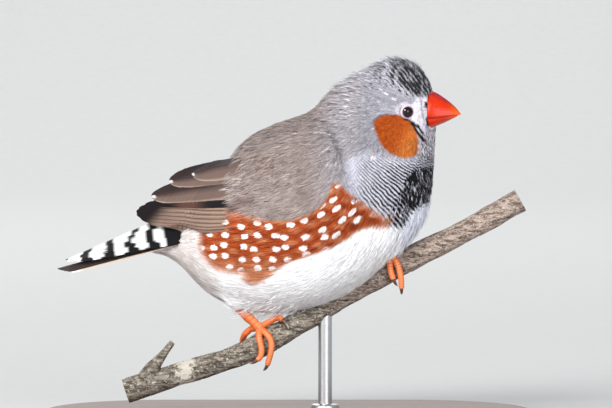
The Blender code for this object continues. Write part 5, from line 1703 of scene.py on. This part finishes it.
# %% Lay the feet on the branch
for foot, (pad, toes) in FEET.items():
    middle = beside_perch(*pad, -1, 1.35)
    limbs, claws = [], []
    for number, marks in enumerate(toes):
        side = 1 if number == 0 else -1
        line = curve_through([middle] + [beside_perch(x, z, side, 1.04) for x, z in marks], 8)
        mid_toe, toe_end = line[len(line) // 2], line[-1]
        outward = unit(mid_toe - branch_at(mid_toe[0])[0])
        limbs.append(scaled_limb(line, 0.80, 0.62, 0.62, outward, number + 1))
        way = unit(toe_end - line[-3])
        inward = branch_at(toe_end[0])[0] - toe_end
        claws.append(claw(toe_end, way, unit(inward - way * (inward @ way))))
    heel = to_room(HEELS[foot]) / MM
    up_leg = (heel - middle) / np.linalg.norm(heel - middle)
    front = np.cross(up_leg, (0, 1.0, 0))
    front = unit(front) * (1 if front[0] > 0 else -1)
    low, high = middle - up_leg * 0.3, heel + up_leg * 2.5
    shin_line = [low, middle + up_leg * 1.2, (middle + heel) / 2, heel, high]
    shin = scaled_limb(curve_through(shin_line, 10), 1.10, 1.12, 1.15, front + (0, -0.4, 0), 7)
    ball_line = [middle - up_leg * 1.1, middle, middle + up_leg * 1.3]
    limbs.append(scaled_limb(curve_through(ball_line, 8), 1.15, 1.05, 0.75, front + (0, -0.5, 0), 5))
    joined_tubes("toes_" + foot, leg_finish, limbs, ("foot_" + foot,))
    joined_tubes("shin_" + foot, leg_finish, [shin], ("tarsus_" + foot,))
    claw_nodes = tuple(f"claw_{foot}_{number + 1}" for number in range(len(toes)))
    joined_tubes("claws_" + foot, claw_finish, claws, claw_nodes)

# %% [markdown]
# ## The branch
#
# The perch is a weathered stick, cut at both ends, with the broken stub of a side twig. A long tube
# follows the measured line. Its skin is pushed in and out by three sizes of noise: slow swellings,
# bark ridges drawn out along the wood, and fine cracks. The finish adds grey and brown patches,
# pale lichen and dark cracks, all from the place on the wood, so nothing repeats.

# %% Bark finish
bark = Finish("bark", 0.88, 0.25)
bark_place = bark.stored("place", "Vector")
bark_parts = bark.wire("ShaderNodeSeparateXYZ", {"Vector": bark_place})
stretch = bark.stretched(bark_place, (0.22, 1.0, 1.0))
broad = bark.speckle(bark_place, 0.16, 3.0)
mid = bark.speckle(stretch, 1.5, 6.0, 0.72)
fine = bark.speckle(stretch, 6.0, 6.0, 0.8)
fleck = bark.speckle(bark_place, 1.5, 4.0, 0.65)
grey_wood = bark.blend(bark.between(mid, 0.40, 0.60), srgb(76, 69, 60), srgb(150, 141, 128))
warm_wood = bark.blend(bark.between(mid, 0.38, 0.60), srgb(92, 76, 66), srgb(178, 159, 147))
warmth = bark.between(bark.maths("MULTIPLY_ADD", broad, 22.0, bark_parts["X"]), 12.0, 34.0)
wood = bark.blend(warmth, grey_wood, warm_wood)
grain_tone = bark.grey(bark.maths("MULTIPLY_ADD", fine, 2.4, -0.2))
wood = bark.blend(1.0, wood, grain_tone, "MULTIPLY")
wood = bark.blend(bark.between(fleck, 0.56, 0.66), wood, srgb(190, 180, 170))
crack = bark.speckle(stretch, 0.55, 6.0, 0.72)
wood = bark.blend(bark.between(crack, 0.405, 0.355), wood, srgb(38, 32, 26))
lichen_x = bark.maths("ABSOLUTE", bark.maths("SUBTRACT", bark_parts["X"], -23.6))
lichen_field = bark.maths("MULTIPLY_ADD", bark.speckle(bark_place, 0.8, 6.0, 0.72), 11.0, lichen_x)
lichen_side = bark.between(bark_parts["Y"], -1.6, -3.2)
in_lichen = bark.maths("MULTIPLY", bark.between(lichen_field, 7.5, 6.7), lichen_side)
crust = bark.blend(fine, srgb(150, 140, 122), srgb(236, 230, 220))
wood = bark.blend(in_lichen, wood, crust)
bark.plug(bark.blend(bark.stored("cut"), wood, bark.stored("ground", "Color")))
relief = bark.maths("ADD", bark.maths("MULTIPLY", fine, 0.6), mid)
bark.raise_bumps(relief, 0.8, 0.00035)
print("bark finish has", len(bark.nodes), "nodes")

# %% Turn lines into wood
WOOD_SPACING = 0.22
END_GRAIN = srgb(192, 166, 128)
# A cut end has four rings, each this share of the last ring of bark; the inner ones stand out a little
END_SHARES = (0.97, 0.7, 0.4, 0.12)


def bark_height(along, spoke, seed):
    """How far the bark stands out at one place: slow swellings, long ridges and fine cracks."""
    y, z = spoke[1], spoke[2]
    slow = noise.noise(Vector((along * 0.16 + seed, y * 0.7, z * 0.7)))
    ridges = noise.noise(Vector((along * 0.30 + seed, y * 3.2 + 9, z * 3.2)))
    cracks = 1 - abs(noise.noise(Vector((along * 0.45, y * 5.5 + seed, z * 5.5 + 4)))) * 6
    return 0.20 * slow + 0.17 * ridges - 0.16 * max(0.0, cracks)


def wood_tube(line, girth, segments, seed, rough):
    """Rings of bark with a cut face at each end, and what is stored on them."""
    line, along = resampled(line, WOOD_SPACING)
    radii = np.interp(np.linspace(0, 1, len(line)), np.linspace(0, 1, len(girth)), girth)
    rings, spoke = tube_rings(line, radii, segments)
    bumps = np.array([[bark_height(far, s, seed) for s in row] for far, row in zip(along, spoke)])
    rings = line[:, None] + spoke * (radii[:, None] + bumps * rough)[..., None]
    ends = []
    for end, inner in ((0, 1), (-1, -2)):
        slope = line[end] - line[inner]
        for share in END_SHARES:
            ends.append(line[end] + (rings[end] - line[end]) * share + slope * 0.15 * (share < 0.9))
    cut_rings = len(END_SHARES)
    rings = np.concatenate([ends[:cut_rings][::-1], rings, ends[cut_rings:]])
    rows = len(rings)
    cut = np.zeros((rows, segments, 1))
    cut[:cut_rings] = 1
    cut[-cut_rings:] = 1
    ring_tone = np.where(np.arange(rows) % 2 == 0, 0.85, 1.0)
    colour = END_GRAIN * ring_tone[:, None, None] * np.ones((rows, segments, 1))
    points = with_ends(rings, rings[0].mean(0), rings[-1].mean(0))
    return {"size": (rows, segments), "points": points, "place": points, "cut": with_ends(cut),
            "ground": with_ends(colour, last=colour[0, 0])}


share = np.linspace(0, 1, 60)
perch_girth = PERCH_RADIUS * (1 + 0.05 * np.sin(19 * share + 1) + 0.04 * np.sin(43 * share))
perch = wood_tube(perch_curve, perch_girth, segments=72, seed=3.0, rough=1.0)
TWIG_LINE = [(-32.8, 12.2), (-32.2, 13.2), (-30.6, 15.6), (-28.6, 18.2), (-26.6, 20.8)]
TWIG_GIRTH = 0.95 * np.array([2.2, 1.9, 1.25, 0.9, 0.72])
twig_curve = curve_through([(x, PERCH_Y - 1.0, z) for x, z in TWIG_LINE], 10)
twig = wood_tube(twig_curve, TWIG_GIRTH, segments=32, seed=11.0, rough=0.45)
joined_tubes("branch", bark, [perch, twig], ("perch",))

# %% [markdown]
# ## The stand
#
# A turned hardwood plinth and one steel rod: plain, heavy enough and easy to dust. The plinth's
# edge is rounded over, as a router would leave it, and oiled; its grain runs lengthwise. The rod is
# brushed steel with a small collar where it meets the wood.

# %% Plinth
wood_finish = Finish("oiled_wood", 0.36, 0.5, coat_weight=0.25, coat_roughness=0.25)
grain_place = wood_finish.wire("ShaderNodeTexCoord", {})["Object"]
grain_bend = wood_finish.speckle(wood_finish.stretched(grain_place, (8.0, 40.0, 40.0)), 1.0, 2.0)
grain = wood_finish.speckle(wood_finish.stretched(grain_place, (14.0, 210.0, 210.0)), 1.2, 6.0, 0.62)
waves = {"Vector": grain_place, "Scale": 55.0, "Distortion": 5.0, "Detail": 3.0, "Detail Scale": 0.6}
growth_lines = wood_finish.wire("ShaderNodeTexWave", waves, bands_direction="Y")["Fac"]
wood_tone = wood_finish.blend(grain, srgb(58, 34, 22), srgb(122, 78, 50))
wood_tone = wood_finish.blend(wood_finish.maths("MULTIPLY", growth_lines, 0.45), wood_tone,
                          srgb(84, 50, 32))
wood_tone = wood_finish.blend(wood_finish.between(grain_bend, 0.5, 0.8), wood_tone,
                          srgb(74, 44, 28))
wood_finish.plug(wood_tone)
wood_gloss = wood_finish.maths("MULTIPLY_ADD", grain, 0.22, 0.26)
wood_finish.plug(wood_gloss, "Roughness")
wood_finish.raise_bumps(grain, 0.25, 0.00008)

BASE_LENGTH, BASE_DEPTH, BASE_THICKNESS, BASE_EDGE = 112.0, 56.0, 5.0, 0.8
EDGE_STEPS = 8
turn = np.linspace(0, 2 * math.pi, 160, endpoint=False)
shift = np.where(np.cos(turn) >= 0, 1, -1) * (BASE_LENGTH - BASE_DEPTH) / 2
# Each level of the plinth: how far in from its outline, and how high, mm
levels = [(0.25, 0.0), (0.0, 0.25)]
for step in range(EDGE_STEPS + 1):
    angle = math.pi / 2 * step / EDGE_STEPS
    inset, drop = BASE_EDGE * (1 - math.cos(angle)), BASE_EDGE * (1 - math.sin(angle))
    levels.append((inset, BASE_THICKNESS - drop))
levels += [(3.0, BASE_THICKNESS), (12.0, BASE_THICKNESS), (22.0, BASE_THICKNESS)]
rings = []
for inset, height in levels:
    radius = BASE_DEPTH / 2 - inset
    rings.append(np.stack([shift + radius * np.cos(turn), radius * np.sin(turn), height + 0 * turn], -1))
faces = listed(*closed_tube(len(rings), len(turn)))
points = with_ends(np.array(rings), (0, 0, 0), (0, 0, BASE_THICKNESS))
make_piece("stand_plinth", points * MM, faces, wood_finish, {}, in_room=True,
           replaces=("stand_base",))
print("plinth of", len(faces[1]), "faces")

# %% Rod and collar
steel = Finish("brushed_steel", 0.3, 0.5, metallic=1.0)
steel_place = steel.wire("ShaderNodeTexCoord", {})["Object"]
brushed = steel.stretched(steel_place, (400.0, 400.0, 9000.0))
brush_marks = steel.speckle(brushed, 1.0, 2.0)
steel_tone = steel.blend(brush_marks, (0.50, 0.50, 0.51), (0.64, 0.64, 0.65))
steel.plug(steel_tone)
steel_gloss = steel.maths("MULTIPLY_ADD", brush_marks, 0.18, 0.24)
steel.plug(steel_gloss, "Roughness")
steel.raise_bumps(brush_marks, 0.15, 0.00003)

ROD_X, ROD_RADIUS, COLLAR_RADIUS = 8.4, 1.6, 3.3
ROD_IN_BRANCH = 1.2
CRISP_ANGLE = math.radians(40)
rod_top = branch_at(ROD_X)[0][2] - ROD_IN_BRANCH
# Radius and height of each ring: the collar, then the rod up into the branch
outline = [(0.02, 4.9), (COLLAR_RADIUS, 4.9), (COLLAR_RADIUS, 5.15), (COLLAR_RADIUS, 6.1), (3.1, 6.4),
           (2.9, 6.5), (1.75, 6.5), (ROD_RADIUS, 6.6), (ROD_RADIUS, 6.9), (ROD_RADIUS, 12.0),
           (ROD_RADIUS, 20.0), (ROD_RADIUS, rod_top), (0.02, rod_top)]
turn = np.linspace(0, 2 * math.pi, 64, endpoint=False)
rings = []
for radius, height in outline:
    around = [ROD_X + radius * np.cos(turn), PERCH_Y + radius * np.sin(turn), height + 0 * turn]
    rings.append(np.stack(around, -1))
faces = listed(*closed_tube(len(rings), len(turn)))
points = with_ends(np.array(rings), rings[0].mean(0), rings[-1].mean(0))
rod = make_piece("stand_rod_steel", points * MM, faces, steel, {}, in_room=True,
                 replaces=("stand_rod",))
rod.modifiers.new("crisp edges", "EDGE_SPLIT").split_angle = CRISP_ANGLE
print("rod top at", round(rod_top, 1), "mm")
